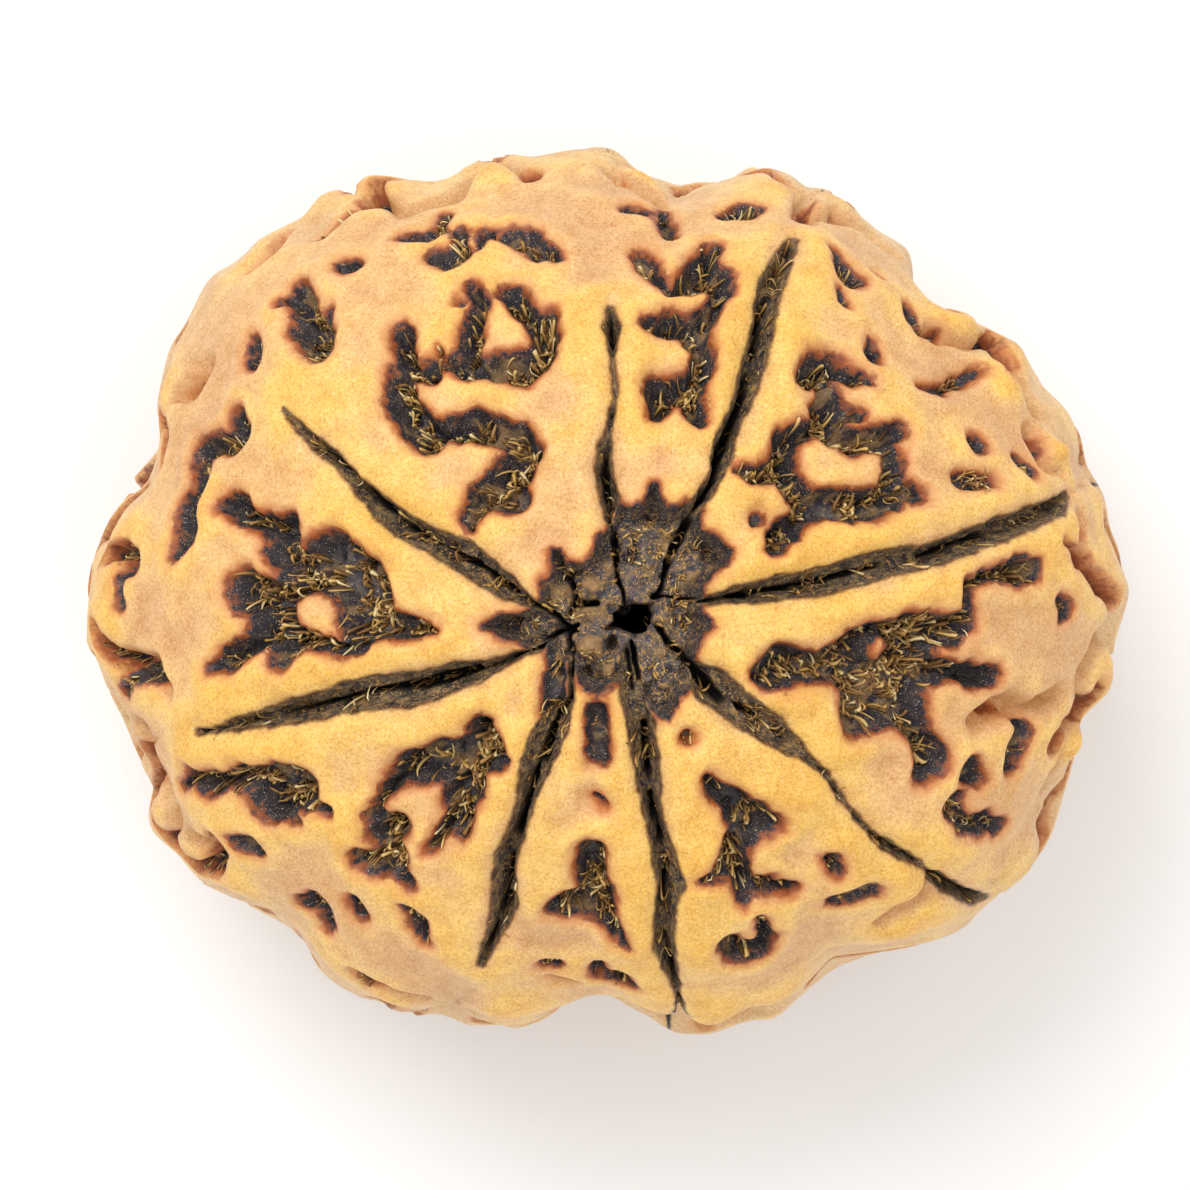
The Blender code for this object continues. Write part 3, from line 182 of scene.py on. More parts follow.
# Outline seen from above, anticlockwise from the west
OUTLINE = (
    (-13.0, 0.0), (-12.8, 1.0), (-12.4, 1.9), (-12.1, 2.3), (-11.5, 2.65), (-11.07, 3.7), (-11.35, 4.5),
    (-11.25, 5.1), (-11.0, 6.1), (-10.5, 6.85), (-10.15, 7.6), (-9.9, 7.95), (-9.35, 8.15), (-8.8, 8.8),
    (-8.0, 9.15), (-7.6, 9.2), (-7.24, 9.78), (-6.6, 10.05), (-5.9, 10.3), (-4.95, 9.93), (-4.4, 9.7),
    (-3.9, 10.1), (-3.3, 10.75), (-2.5, 10.95), (-2.0, 10.85), (-1.5, 10.95), (-0.3, 11.13), (0.15, 11.07),
    (0.6, 10.57), (1.12, 10.1), (1.65, 9.62), (2.1, 10.05), (3.1, 10.35), (3.87, 10.6), (4.6, 10.37),
    (4.9, 10.06), (5.3, 10.1), (6.0, 9.78), (6.25, 9.27), (6.8, 8.88), (7.47, 8.5), (7.6, 7.6), (7.76, 7.06),
    (8.54, 7.0), (9.1, 6.68), (9.75, 6.27), (10.4, 5.75), (10.7, 5.0), (11.2, 4.68), (11.7, 4.0),
    (11.87, 3.17), (12.35, 2.4), (12.35, 1.6), (12.73, 0.7), (12.99, 0.0), (12.57, -1.25), (12.57, -1.65),
    (12.1, -2.6), (11.52, -3.2), (11.6, -3.7), (11.34, -4.9), (10.98, -6.1), (10.34, -7.2), (9.45, -7.78),
    (8.93, -8.35), (7.85, -8.75), (6.6, -8.95), (5.5, -9.1), (4.76, -10.05), (4.1, -10.65), (3.5, -10.65),
    (2.53, -11.07), (1.6, -11.03), (0.8, -10.5), (0.2, -9.86), (-0.25, -9.78), (-0.7, -9.9), (-1.55, -10.62),
    (-2.4, -10.98), (-3.0, -10.76), (-3.5, -10.83), (-4.4, -10.52), (-4.8, -10.63), (-6.05, -10.22),
    (-6.96, -9.75), (-7.6, -8.7), (-8.14, -8.03), (-9.4, -7.66), (-10.28, -7.24), (-10.77, -6.58),
    (-11.4, -6.0), (-11.52, -5.45), (-11.28, -4.88), (-11.8, -4.13), (-12.16, -3.35), (-12.6, -2.44),
    (-12.93, -1.26),
)

# The eight clefts on the crown, from the rim to the centre: x, y, half width
CLEFTS = {
    "north": (
        (0.0, 6.9, .05), (0.03, 6.35, .17), (0.05, 5.8, .04), (0.05, 5.4, .02), (0.13, 4.8, .02),
        (0.03, 4.3, .02), (-0.02, 3.95, .03), (-0.12, 3.5, .13), (-0.17, 3.1, .17), (-0.1, 2.6, .17),
        (0.0, 2.2, .17), (-0.05, 1.8, .05), (0.05, 1.5, .06), (0.12, 0.9, .1), (0.15, 0.4, .04),
    ),
    "north_north_east": (
        (4.5, 8.6, .08), (4.2, 8.1, .22), (3.9, 7.4, .27), (3.75, 6.8, .25), (3.65, 6.2, .22),
        (3.5, 5.6, .25), (3.35, 5.1, .22), (3.15, 4.5, .18), (2.95, 4.1, .15), (2.75, 3.6, .2),
        (2.65, 3.2, .2), (2.55, 2.8, .12), (2.3, 2.4, .12), (2.0, 2.0, .12), (1.75, 1.6, .15),
        (1.55, 1.2, .12), (1.45, 0.8, .03), (1.3, 0.1, .03),
    ),
    "east": (
        (11.3, 2.4, .08), (11.0, 2.1, .2), (10.3, 1.8, .23), (9.5, 1.5, .25), (8.7, 1.2, .25),
        (8.0, 0.93, .25), (7.2, 0.78, .27), (6.5, 0.62, .3), (6.0, 0.48, .32), (5.0, 0.22, .28),
        (4.0, 0.08, .25), (3.4, -0.05, .2), (3.0, -0.1, .15), (2.4, -0.2, .06), (1.9, -0.3, .05),
        (1.3, -0.35, .05),
    ),
    "south_east": (
        (9.4, -7.7, .06), (9.1, -7.6, .18), (8.7, -7.45, .18), (8.3, -7.25, .15), (8.0, -7.05, .1),
        (7.9, -6.95, .03), (7.5, -6.6, .03), (7.1, -6.4, .08), (6.7, -6.15, .1), (6.4, -5.95, .03),
        (6.0, -5.5, .03), (5.6, -5.0, .03), (5.2, -4.4, .03), (4.65, -3.95, .05), (4.4, -3.75, .2),
        (3.9, -3.35, .33), (3.3, -2.95, .35), (2.4, -2.25, .4), (2.0, -1.8, .1), (1.6, -1.5, .04),
        (1.2, -0.95, .04),
    ),
    "south": (
        (1.73, -10.5, .05), (1.73, -10.3, .13), (1.7, -10.0, .04), (1.6, -9.6, .06), (1.45, -9.1, .15),
        (1.3, -8.6, .22), (1.3, -8.0, .2), (1.35, -7.5, .22), (1.45, -7.0, .28), (1.3, -6.4, .25),
        (1.15, -5.8, .18), (1.0, -5.2, .18), (0.95, -4.7, .25), (0.85, -4.0, .28), (0.75, -3.2, .28),
        (0.55, -2.5, .25), (0.4, -1.5, .15),
    ),
    "south_south_west": (
        (-3.15, -9.1, .06), (-2.95, -8.6, .13), (-2.7, -8.1, .2), (-2.6, -7.6, .28), (-2.6, -7.1, .25),
        (-2.55, -6.5, .22), (-2.3, -5.9, .17), (-2.1, -5.3, .15), (-1.95, -4.7, .2), (-1.8, -4.2, .3),
        (-1.6, -3.7, .35), (-1.3, -3.1, .3), (-0.95, -2.6, .05), (-0.95, -2.0, .05), (-0.95, -1.3, .05),
    ),
    "west": (
        (-10.0, -3.42, .05), (-9.5, -3.35, .04), (-9.0, -3.2, .12), (-8.3, -3.05, .2), (-7.6, -2.9, .25),
        (-7.0, -2.75, .28), (-6.3, -2.55, .33), (-5.6, -2.45, .38), (-5.0, -2.4, .38), (-4.3, -2.25, .33),
        (-3.7, -2.05, .28), (-3.2, -1.95, .22), (-2.8, -1.8, .12), (-2.3, -1.55, .06), (-1.7, -1.35, .05),
        (-1.3, -1.0, .05),
    ),
    "north_west": (
        (-7.9, 4.4, .03), (-7.5, 3.95, .08), (-7.1, 3.55, .12), (-6.6, 3.2, .1), (-6.2, 2.75, .12),
        (-5.9, 2.4, .15), (-5.5, 2.0, .25), (-5.1, 1.65, .25), (-4.6, 1.35, .25), (-4.0, 1.05, .28),
        (-3.5, 0.85, .35), (-3.0, 0.45, .3), (-2.5, 0.1, .25), (-2.1, -0.15, .12), (-1.7, -0.4, .06),
        (-1.3, -0.85, .05),
    ),
}

# Longitudes in degrees at which each cleft's seam goes on down the side, crosses the equator and the heel
SEAMS = {
    "north": (96, 90, 97),
    "north_north_east": (66, 67, 58),
    "east": (15, 13, 18),
    "south_east": (-39, -38, -32),
    "south": (-82, -83, -79),
    "south_south_west": (-112, -115, -120),
    "west": (193, 194, 189),
    "north_west": (150, 153, 146),
}
SEAM_LATITUDES = (42, 30, 18, 6, -6, -18, -30, -42)
HEEL_LATITUDES = (-42, -48, -54, -60, -66, -72, -78, -83)
HEEL_CLEFT_WIDTHS = (0.05, 0.14, 0.2, 0.24, 0.26, 0.24, 0.2, 0.12)

# The dark broken plateau round the channel's mouth
PLATEAU = (
    (0.0, 1.6), (0.25, 2.05), (0.45, 1.95), (0.7, 2.05), (0.85, 2.3), (1.05, 2.6), (1.2, 2.3), (1.35, 1.95),
    (1.6, 1.95), (1.85, 2.15), (2.15, 1.9), (2.1, 1.4), (2.45, 1.35), (2.85, 1.0), (2.7, 0.6), (2.45, 0.45),
    (2.3, 0.2), (2.2, 0.0), (2.1, -0.5), (2.35, -0.85), (2.15, -1.1), (2.0, -1.5), (1.9, -2.3), (1.6, -2.5),
    (1.6, -2.75), (1.4, -3.0), (1.1, -2.95), (0.6, -2.4), (0.2, -2.1), (-0.1, -2.25), (-0.4, -2.4),
    (-0.75, -2.1), (-0.95, -1.6), (-1.3, -1.6), (-1.5, -1.25), (-2.1, -1.35), (-2.6, -1.1), (-3.15, -0.87),
    (-2.6, -0.55), (-1.9, -0.5), (-1.6, -0.2), (-1.7, 0.2), (-1.45, 0.4), (-1.4, 0.75), (-1.45, 1.05),
    (-1.25, 1.0), (-1.1, 0.7), (-0.6, 0.65), (-0.35, 0.9), (-0.2, 1.3),
)

# The mouth of the channel
MOUTH = (
    (0.15, -0.3), (0.5, -0.25), (1.1, -0.25), (1.05, -0.6), (0.85, -0.95), (0.6, -1.15), (0.25, -1.0),
    (-0.25, -1.0), (-0.1, -0.8), (0.15, -0.6),
)

# Lumps and gaps of the broken plateau: x, y, radius, height
PLATEAU_LUMPS = (
    (-1.15, 0.45, 0.13, -0.8), (-0.8, 0.15, 0.3, 0.12), (-0.65, -0.6, 0.35, -0.12), (-0.6, -0.25, 0.07, -0.6),
    (-1.05, -0.95, 0.08, -0.6), (-0.55, -1.3, 0.36, 0.3), (0.0, -0.1, 0.12, 0.15), (-0.15, -0.55, 0.1, 0.15),
    (2.7, 1.1, 0.28, -0.3), (2.05, -0.75, 0.22, -0.3), (2.35, -1.15, 0.25, 0.12), (-0.03, -1.35, 0.12, -0.8),
)

# Stretches where a cleft's crack gapes: x, y, half width
CRACK_GAPS = (
    ((-5.9, -2.5, .08), (-5.0, -2.4, .14), (-4.3, -2.2, .16), (-3.4, -1.95, .08)),
    ((2.0, -1.85, .12), (2.4, -2.3, .16), (2.85, -2.8, .12)),
    ((3.6, 0.05, .03), (5.5, 0.35, .08), (7.0, 0.75, .06)), ((8.6, 1.2, .07), (9.8, 1.6, .04)),
    ((3.3, 4.9, .08), (2.8, 3.7, .12), (2.55, 2.9, .08)), ((3.9, 7.4, .06), (3.7, 6.6, .08)),
    ((-0.12, 3.5, .05), (-0.15, 3.0, .1), (-0.1, 2.4, .08)), ((0.03, 6.3, .08), (0.02, 6.6, .06)),
    ((-5.3, 1.8, .08), (-4.9, 1.5, .05)), ((-3.9, 0.95, .08), (-3.4, 0.75, .1)),
    ((0.85, -3.4, .08), (0.9, -4.3, .1)), ((1.0, -5.2, .06), (1.1, -5.8, .1)),
    ((1.35, -7.2, .08), (1.3, -8.0, .09)), ((8.9, -7.5, .1), (8.2, -7.15, .07)),
    ((-1.45, -3.4, .1), (-1.75, -4.3, .13)), ((-2.0, -4.9, .06), (-2.4, -6.3, .12)),
    ((-2.6, -7.2, .1), (-2.9, -8.4, .05)), ((-8.4, -3.1, .03), (-7.2, -2.8, .07)),
)

# Cracks that carry the clefts on across the plateau: x, y, half width
PLATEAU_CRACKS = (
    ((-0.05, 2.04, .08), (0.05, 1.43, .04), (0.13, 0.92, .09), (0.15, 0.32, .04), (0.36, -0.29, .04)),
    ((2.12, 2.24, .12), (1.77, 1.43, .12), (1.47, 0.82, .08), (1.3, 0.1, .02), (1.11, -0.09, .02)),
    ((2.63, -0.19, .05), (1.72, -0.09, .03), (1.16, -0.09, .04)),
    ((2.02, -1.8, .12), (1.52, -1.3, .04), (1.16, -0.89, .03)),
    ((0.81, -2.91, .08), (0.71, -2.11, .04), (0.51, -1.3, .05)),
    ((-0.96, -2.6, .09), (-1.06, -1.5, .07), (-1.11, -0.95, .06), (-0.85, -1.0, .03)),
    ((-2.42, -1.6, .04), (-1.51, -1.1, .03), (-1.11, -0.94, .06), (-0.85, -0.8, .05)),
    ((-2.42, 0.32, .08), (-1.61, -0.49, .04), (-1.21, -0.89, .05)),
    ((-1.05, 0.3, .06), (-0.95, -0.15, .03), (-1.1, -0.6, .03)),
    ((-0.85, -0.25, .06), (-0.4, -0.28, .07)),
)

# The pits on the crown. Each is a depth and strokes of x, y, radius, which run together
PITS = {
    "north_west_net": (DEEP, (
        ((-5.05, 6.25, .28), (-4.95, 5.75, .2), (-4.85, 5.4, .2)),
        ((-5.2, 5.3, .27), (-5.15, 4.8, .3), (-5.0, 4.4, .3), (-4.75, 4.1, .35), (-4.3, 3.7, .35)),
        ((-4.6, 5.3, .15), (-4.35, 5.35, .27)),
        ((-4.1, 3.95, .2), (-3.7, 4.0, .3), (-3.3, 4.1, .33), (-2.8, 3.95, .3), (-2.3, 3.75, .38)),
        ((-2.3, 3.75, .38), (-2.05, 3.4, .35), (-2.35, 3.0, .4), (-2.6, 2.5, .5), (-2.3, 2.2, .3)),
        ((-2.6, 2.5, .4), (-3.15, 2.2, .33), (-3.3, 1.8, .17), (-3.3, 1.5, .07)),
    )),
    "north_bay": (DEEP, (
        ((-3.3, 7.35, .12), (-3.15, 6.9, .17), (-3.3, 6.5, .15), (-3.35, 6.1, .2), (-3.4, 5.8, .3)),
        ((-4.0, 5.5, .1), (-3.4, 5.4, .2), (-2.8, 5.5, .35), (-2.2, 5.5, .35), (-1.75, 5.7, .3)),
        ((-1.75, 5.7, .3), (-1.6, 6.2, .25), (-1.7, 6.5, .3), (-1.45, 6.7, .15)),
        ((-1.7, 6.5, .25), (-2.05, 6.8, .2), (-2.25, 7.1, .25), (-2.45, 7.2, .22)),
    )),
    "north_west_shoulder": (DEEP, (
        ((-7.6, 7.5, .2), (-7.6, 7.15, .33), (-7.45, 6.8, .3), (-7.3, 6.45, .3), (-7.7, 6.4, .2)),
        ((-7.3, 6.45, .3), (-7.3, 6.1, .33), (-7.1, 5.9, .27), (-6.95, 6.4, .15), (-6.93, 6.9, .07)),
        ((-7.6, 7.15, .2), (-8.1, 7.1, .08)),
    )),
    "west_shoulder": (DEEP, (
        ((-9.2, 4.3, .2), (-9.15, 3.9, .27), (-9.3, 3.65, .2), (-9.7, 3.65, .25), (-10.15, 3.45, .33)),
        ((-10.15, 3.45, .33), (-10.1, 3.0, .3), (-10.1, 2.5, .22), (-10.4, 2.0, .38), (-10.4, 1.5, .38)),
        ((-10.4, 1.5, .38), (-10.6, 1.05, .3)),
    )),
    "west_net": (DEEP, (
        ((-9.45, 2.1, .22), (-9.15, 2.05, .27), (-8.8, 1.75, .15), (-8.35, 1.6, .2)),
        ((-8.35, 1.6, .3), (-7.95, 1.5, .38), (-8.0, 1.05, .42), (-7.8, 0.6, .3), (-7.5, 0.3, .25)),
        ((-7.8, 0.6, .3), (-7.1, 0.95, .35), (-6.65, 0.95, .43), (-6.2, 0.6, .42), (-5.85, 0.35, .4)),
        ((-5.85, 0.35, .4), (-5.85, -0.2, .45), (-5.95, -0.75, .45)),
        ((-7.5, 0.3, .25), (-7.0, 0.4, .35), (-6.4, 0.1, .45), (-6.3, -0.4, .4), (-6.2, -0.9, .4)),
        ((-5.95, -0.75, .35), (-5.5, -0.8, .3), (-5.1, -0.8, .25), (-4.7, -0.9, .17), (-4.2, -0.95, .08)),
        ((-6.1, -1.2, .25), (-6.4, -1.4, .17), (-6.8, -1.3, .12), (-7.16, -1.2, .15), (-7.6, -1.16, .22)),
        ((-7.6, -1.16, .22), (-8.03, -1.6, .27)),
        ((-9.15, 0.1, .33), (-8.85, 0.25, .27), (-8.5, 0.05, .27), (-8.1, -0.1, .22), (-7.8, 0.0, .2)),
        ((-7.8, 0.0, .2), (-7.5, 0.3, .2)),
        ((-9.0, -0.2, .35), (-8.5, -0.4, .35), (-8.5, -0.9, .4), (-8.8, -1.3, .25), (-9.3, -1.65, .22)),
        ((-9.3, -1.65, .22), (-9.7, -1.85, .1)),
        ((-8.0, -0.1, .25), (-8.0, -0.5, .25), (-7.95, -1.0, .3), (-8.0, -1.4, .3)),
    )),
    "south_west_upper": (DEEP, (
        ((-10.5, -4.85, .08), (-10.2, -4.5, .18), (-9.9, -4.75, .25), (-9.5, -4.55, .2), (-9.15, -4.6, .17)),
        ((-9.15, -4.6, .17), (-8.8, -4.5, .3), (-8.7, -4.95, .3)),
        ((-8.8, -4.5, .3), (-8.4, -4.6, .35), (-7.9, -4.6, .42), (-7.55, -4.65, .38), (-7.5, -5.0, .35)),
        ((-7.5, -5.0, .35), (-8.1, -5.1, .45), (-8.5, -5.2, .35), (-8.35, -5.5, .22)),
        ((-8.1, -5.1, .3), (-7.8, -5.5, .25)),
        ((-7.5, -5.0, .2), (-7.3, -5.15, .15), (-6.95, -5.3, .1)),
    )),
    "south_west_inner": (DEEP, (
        ((-3.15, -3.3, .28), (-3.0, -3.8, .4), (-2.75, -4.05, .27)),
        ((-3.0, -3.8, .4), (-3.4, -4.1, .45), (-4.1, -4.2, .5), (-4.8, -4.3, .42), (-5.2, -4.45, .22)),
        ((-5.2, -4.45, .22), (-5.5, -4.85, .1), (-5.7, -5.2, .08)),
        ((-3.4, -4.1, .45), (-3.5, -4.7, .4), (-3.75, -5.2, .35), (-3.65, -5.75, .27)),
        ((-3.75, -5.2, .2), (-4.1, -5.9, .07), (-4.4, -6.3, .07)),
    )),
    "south_west_lower": (DEEP, (
        ((-5.75, -5.55, .22), (-5.3, -5.75, .3), (-5.6, -6.05, .28), (-5.25, -6.5, .33), (-5.7, -6.7, .32)),
        ((-5.7, -6.7, .32), (-6.1, -6.6, .25)),
        ((-5.25, -6.5, .25), (-5.1, -6.85, .2), (-4.87, -7.2, .13)),
    )),
    "south_saddle": (DEEP, (
        ((-0.45, -6.3, .3), (-0.45, -6.8, .33), (-0.3, -7.25, .4), (-0.35, -7.65, .38), (-0.9, -7.65, .4)),
        ((-0.9, -7.65, .4), (-1.3, -7.7, .22)),
        ((-0.35, -7.65, .25), (-0.1, -7.9, .2), (0.2, -8.25, .12), (0.4, -8.5, .06)),
    )),
    "south_east_inner": (DEEP, (
        ((2.35, -4.5, .15), (2.65, -4.85, .2), (3.0, -5.25, .33), (3.4, -5.55, .42), (3.85, -5.65, .33)),
        ((3.4, -5.55, .35), (3.2, -5.9, .35), (3.0, -6.35, .3), (2.7, -6.65, .2), (2.2, -6.85, .1)),
        ((3.0, -6.35, .2), (3.1, -6.7, .2), (3.3, -7.15, .22), (3.8, -7.15, .2), (4.4, -7.25, .12)),
        ((3.3, -7.15, .15), (3.25, -7.4, .12)),
    )),
    "south_east_rim": (DEEP, (
        ((2.95, -8.55, .27), (3.15, -8.75, .3), (3.6, -8.7, .35), (3.8, -8.5, .22), (3.7, -8.1, .13)),
        ((3.7, -8.1, .13), (3.6, -7.9, .06)),
    )),
    "east_net": (DEEP, (
        ((3.75, -1.95, .38), (4.2, -1.85, .45), (4.8, -1.85, .33), (5.4, -1.8, .33), (5.9, -1.7, .4)),
        ((5.9, -1.7, .4), (5.95, -1.2, .33), (6.3, -1.0, .2), (6.9, -1.0, .2), (7.3, -0.95, .33)),
        ((7.3, -0.95, .33), (7.8, -0.95, .45), (8.3, -0.95, .4), (8.7, -0.65, .25), (8.7, -0.3, .12)),
        ((8.7, -0.3, .12), (8.7, 0.15, .1), (9.0, 0.35, .1), (9.5, 0.45, .2), (9.95, 0.47, .33)),
        ((9.95, 0.47, .33), (10.35, 0.5, .22)),
        ((7.3, -0.95, .33), (7.1, -1.4, .25), (6.9, -1.9, .4)),
        ((7.8, -0.95, .4), (7.7, -1.5, .4), (7.3, -1.9, .5)),
        ((5.9, -1.7, .4), (6.0, -2.1, .45), (6.7, -2.1, .5), (7.3, -1.9, .55), (7.7, -1.95, .4)),
        ((7.7, -1.95, .4), (8.3, -1.95, .2), (8.8, -2.05, .27), (9.4, -2.1, .17)),
        ((6.0, -2.1, .4), (5.95, -2.7, .33), (5.95, -3.15, .32), (6.4, -3.0, .4), (7.0, -2.8, .5)),
        ((7.0, -2.8, .5), (7.4, -2.6, .45), (7.45, -3.2, .4), (7.7, -3.7, .25), (7.9, -4.15, .42)),
        ((7.9, -4.15, .42), (7.7, -4.5, .25)),
    )),
    "east_hollow": (DEEP, (
        ((10.2, -3.47, .22), (10.0, -3.88, .33), (9.86, -4.29, .25)),
    )),
    "north_east_net": (DEEP, (
        ((4.75, 5.2, .22), (5.0, 5.5, .25), (5.5, 5.5, .25), (5.9, 5.25, .2), (6.3, 5.15, .1)),
        ((5.0, 5.5, .2), (5.2, 5.1, .2), (5.4, 4.7, .27), (5.7, 4.35, .27), (6.05, 4.3, .17)),
        ((5.4, 4.7, .2), (5.15, 4.4, .2), (5.5, 4.0, .33), (5.9, 3.75, .33), (6.5, 3.75, .3)),
        ((6.5, 3.75, .3), (7.0, 3.85, .22)),
        ((5.5, 4.0, .3), (5.2, 4.1, .25), (4.75, 3.95, .2), (4.3, 3.6, .25), (4.15, 3.1, .27)),
        ((4.15, 3.1, .27), (3.7, 2.8, .17), (3.3, 2.75, .12), (3.0, 2.85, .06)),
        ((4.15, 3.1, .27), (4.35, 2.75, .3), (4.6, 2.35, .3), (5.0, 2.1, .33), (5.6, 2.15, .38)),
        ((5.6, 2.15, .38), (6.2, 2.1, .38), (6.8, 2.35, .33), (7.3, 2.4, .22), (7.6, 2.35, .12)),
        ((6.8, 2.35, .3), (6.9, 2.8, .25), (6.95, 3.3, .25), (6.7, 3.6, .25)),
        ((5.0, 2.1, .25), (4.7, 1.9, .27), (4.3, 1.5, .25), (3.95, 1.2, .2), (3.8, 1.0, .1)),
    )),
    "north_upper": (DEEP, (
        ((2.5, 8.35, .22), (2.25, 7.95, .35), (1.9, 7.5, .33), (2.35, 7.6, .35), (2.8, 7.6, .2)),
        ((2.35, 7.6, .3), (2.75, 7.2, .15), (2.45, 6.8, .2)),
        ((2.45, 6.8, .2), (2.3, 6.5, .25)),
        ((0.9, 6.45, .13), (1.2, 6.4, .2), (1.6, 6.5, .35), (2.0, 6.4, .4), (2.1, 6.15, .27)),
    )),
    "north_lower": (DEEP, (
        ((2.25, 5.75, .2), (2.15, 5.3, .22), (1.9, 4.9, .33), (2.05, 4.4, .2), (2.1, 4.15, .15)),
        ((1.9, 4.9, .33), (1.25, 4.9, .3), (1.15, 4.6, .28), (1.1, 4.3, .15)),
    )),
    "north_slot": (MIDDLE, (((-2.45, 8.7, .2), (-2.05, 8.65, .27), (-1.6, 8.35, .25), (-1.35, 8.2, .13)),)),
    "north_hook": (MIDDLE, (((-4.25, 8.15, .2), (-3.9, 8.1, .27), (-3.6, 8.25, .2), (-3.7, 8.75, .15)),)),
    "north_fold": (MIDDLE, (((-4.1, 9.3, .08), (-4.2, 8.85, .17), (-4.4, 8.65, .18), (-5.1, 8.75, .08)),)),
    "dot_a": (MIDDLE, (((-6.6, 8.0, .18), (-6.4, 8.0, .18)),)),
    "dot_b": (MIDDLE, (((-8.85, 6.2, .1), (-8.8, 5.95, .17), (-8.9, 5.7, .17)),)),
    "dot_c": (MIDDLE, (((-11.96, 0.27, .1), (-11.96, -0.29, .14)),)),
    "west_rim": (MIDDLE, (
        ((-11.8, -1.9, .2), (-11.5, -2.05, .2), (-11.2, -2.1, .15), (-11.2, -1.75, .14)),
        ((-11.7, -2.15, .15), (-11.95, -2.5, .17)),
    )),
    "dot_d": (MIDDLE, (((-9.15, -6.1, .15), (-8.9, -6.2, .22), (-8.7, -6.35, .15)),)),
    "south_west_rim": (MIDDLE, (
        ((-7.58, -7.75, .2), (-7.27, -7.75, .3), (-7.07, -8.16, .17), (-7.0, -8.4, .08)),
    )),
    "dot_e": (MIDDLE, (((-6.35, -7.7, .15), (-6.15, -8.0, .17)),)),
    "slot_a": (MIDDLE, (((-4.98, -7.8, .15), (-4.8, -8.16, .22), (-4.55, -8.57, .12)),)),
    "south_cave": (DEEP, (((-0.35, -9.1, .12), (-0.2, -9.35, .15), (0.2, -9.4, .17), (0.45, -9.6, .1)),)),
    "dot_f": (MIDDLE, (((-1.6, -9.15, .12), (-1.35, -9.15, .12)),)),
    "dot_g": (MIDDLE, (((5.4, -6.5, .2), (5.5, -6.8, .2)),)),
    "slot_b": (MIDDLE, (((5.43, -7.62, .17), (5.89, -7.5, .2), (6.3, -7.3, .22)),)),
    "dot_h": (MIDDLE, (((11.1, -0.25, .15), (11.2, -0.45, .22), (11.1, -0.65, .1)),)),
    "south_east_shoulder": (MIDDLE, (
        ((8.84, -4.4, .3), (9.1, -4.6, .15)),
        ((8.58, -5.05, .12), (8.33, -5.3, .2), (8.63, -5.7, .2), (9.1, -5.72, .25), (9.6, -5.77, .2)),
    )),
    "north_east_rim": (MIDDLE, (
        ((5.5, 8.25, .12), (5.7, 7.95, .25), (5.8, 7.7, .27), (6.2, 7.65, .12)),
        ((5.6, 7.35, .08), (5.7, 7.1, .14)),
    )),
    "dot_i": (MIDDLE, (((6.45, 6.1, .08), (6.45, 5.75, .15)),)),
    "dot_j": (MIDDLE, (((9.03, 3.66, .25),), ((10.1, 3.2, .17), (10.33, 2.95, .13)))),
    "slot_c": (MIDDLE, (((0.75, 8.3, .22), (0.95, 7.9, .22), (1.2, 7.6, .2), (1.45, 7.35, .08)),)),
    "slot_d": (MIDDLE, (((1.3, 9.37, .1), (1.35, 9.07, .17), (1.45, 8.8, .08)),)),
    "slot_e": (MIDDLE, (((2.88, 9.32, .15), (3.28, 9.37, .3), (3.6, 9.37, .12)),)),
    "plateau_strip": (MIDDLE, (
        ((-0.3, -2.95, .26), (-0.3, -3.95, .2)), ((-1.35, -1.6, .2), (-1.35, -2.9, .26)),
    )),
    "hollow_a": (SHALLOW, (((-3.67, 7.03, .18),), ((-4.1, 5.75, .12),))),
    "dot_k": (MIDDLE, (((-3.05, 8.76, .22), (-3.16, 8.4, .06)),)),
    "dot_l": (MIDDLE, (((10.55, 3.8, .05), (10.6, 3.5, .08), (10.66, 3.15, .08)),)),
    "hollow_c": (SHALLOW, (((-7.16, 8.84, .17), (-6.4, 9.27, .1), (-6.1, 9.4, .08)),)),
    "hollow_d": (SHALLOW, (((1.88, -3.53, .17),), ((3.55, 1.75, .22),))),
    "hollow_e": (SHALLOW, (
        ((8.7, 2.77, .27), (9.35, 2.7, .25)),
        ((7.6, 5.07, .06), (8.2, 5.05, .14), (8.7, 5.2, .2), (9.05, 5.45, .18)),
    )),
    "hollow_f": (SHALLOW, (((4.92, 9.68, .2), (4.84, 9.27, .1)), ((6.63, 7.79, .1),))),
    "dot_m": (MIDDLE, (((0.4, 9.4, .1), (0.65, 9.4, .18), (0.85, 9.3, .08)),)),
    "slot_f": (MIDDLE, (
        ((7.27, 7.0, .07), (7.38, 6.7, .1), (7.6, 6.45, .12), (7.88, 6.34, .1), (8.19, 6.38, .06)),
    )),
    "hollow_g": (SHALLOW, (
        ((-8.13, 8.86, .08), (-8.39, 8.45, .1), (-8.8, 8.07, .08)),
        ((-10.07, 5.65, .05), (-10.22, 5.34, .1), (-10.68, 4.93, .08)),
    )),
    "hollow_h": (SHALLOW, (
        ((-6.25, -9.38, .06), (-6.05, -9.59, .08), (-5.59, -9.69, .06)),
        ((-1.5, -9.5, .05), (-1.2, -9.55, .07), (-0.85, -9.55, .05)),
    )),
    "hollow_i": (SHALLOW, (
        ((5.58, 9.4, .07), (5.94, 9.22, .1), (6.14, 9.14, .07)),
        ((-2.4, 10.4, .1), (-1.8, 10.35, .12)),
        ((0.2, 10.3, .1),),
    )),
    "hollow_j": (SHALLOW, (
        ((11.69, 1.52, .12),), ((11.87, 0.85, .07),), ((-0.4, -5.0, .12), (-0.1, -5.2, .12)),
        ((9.55, -3.05, .1), (9.85, -2.92, .14)),
    )),
}

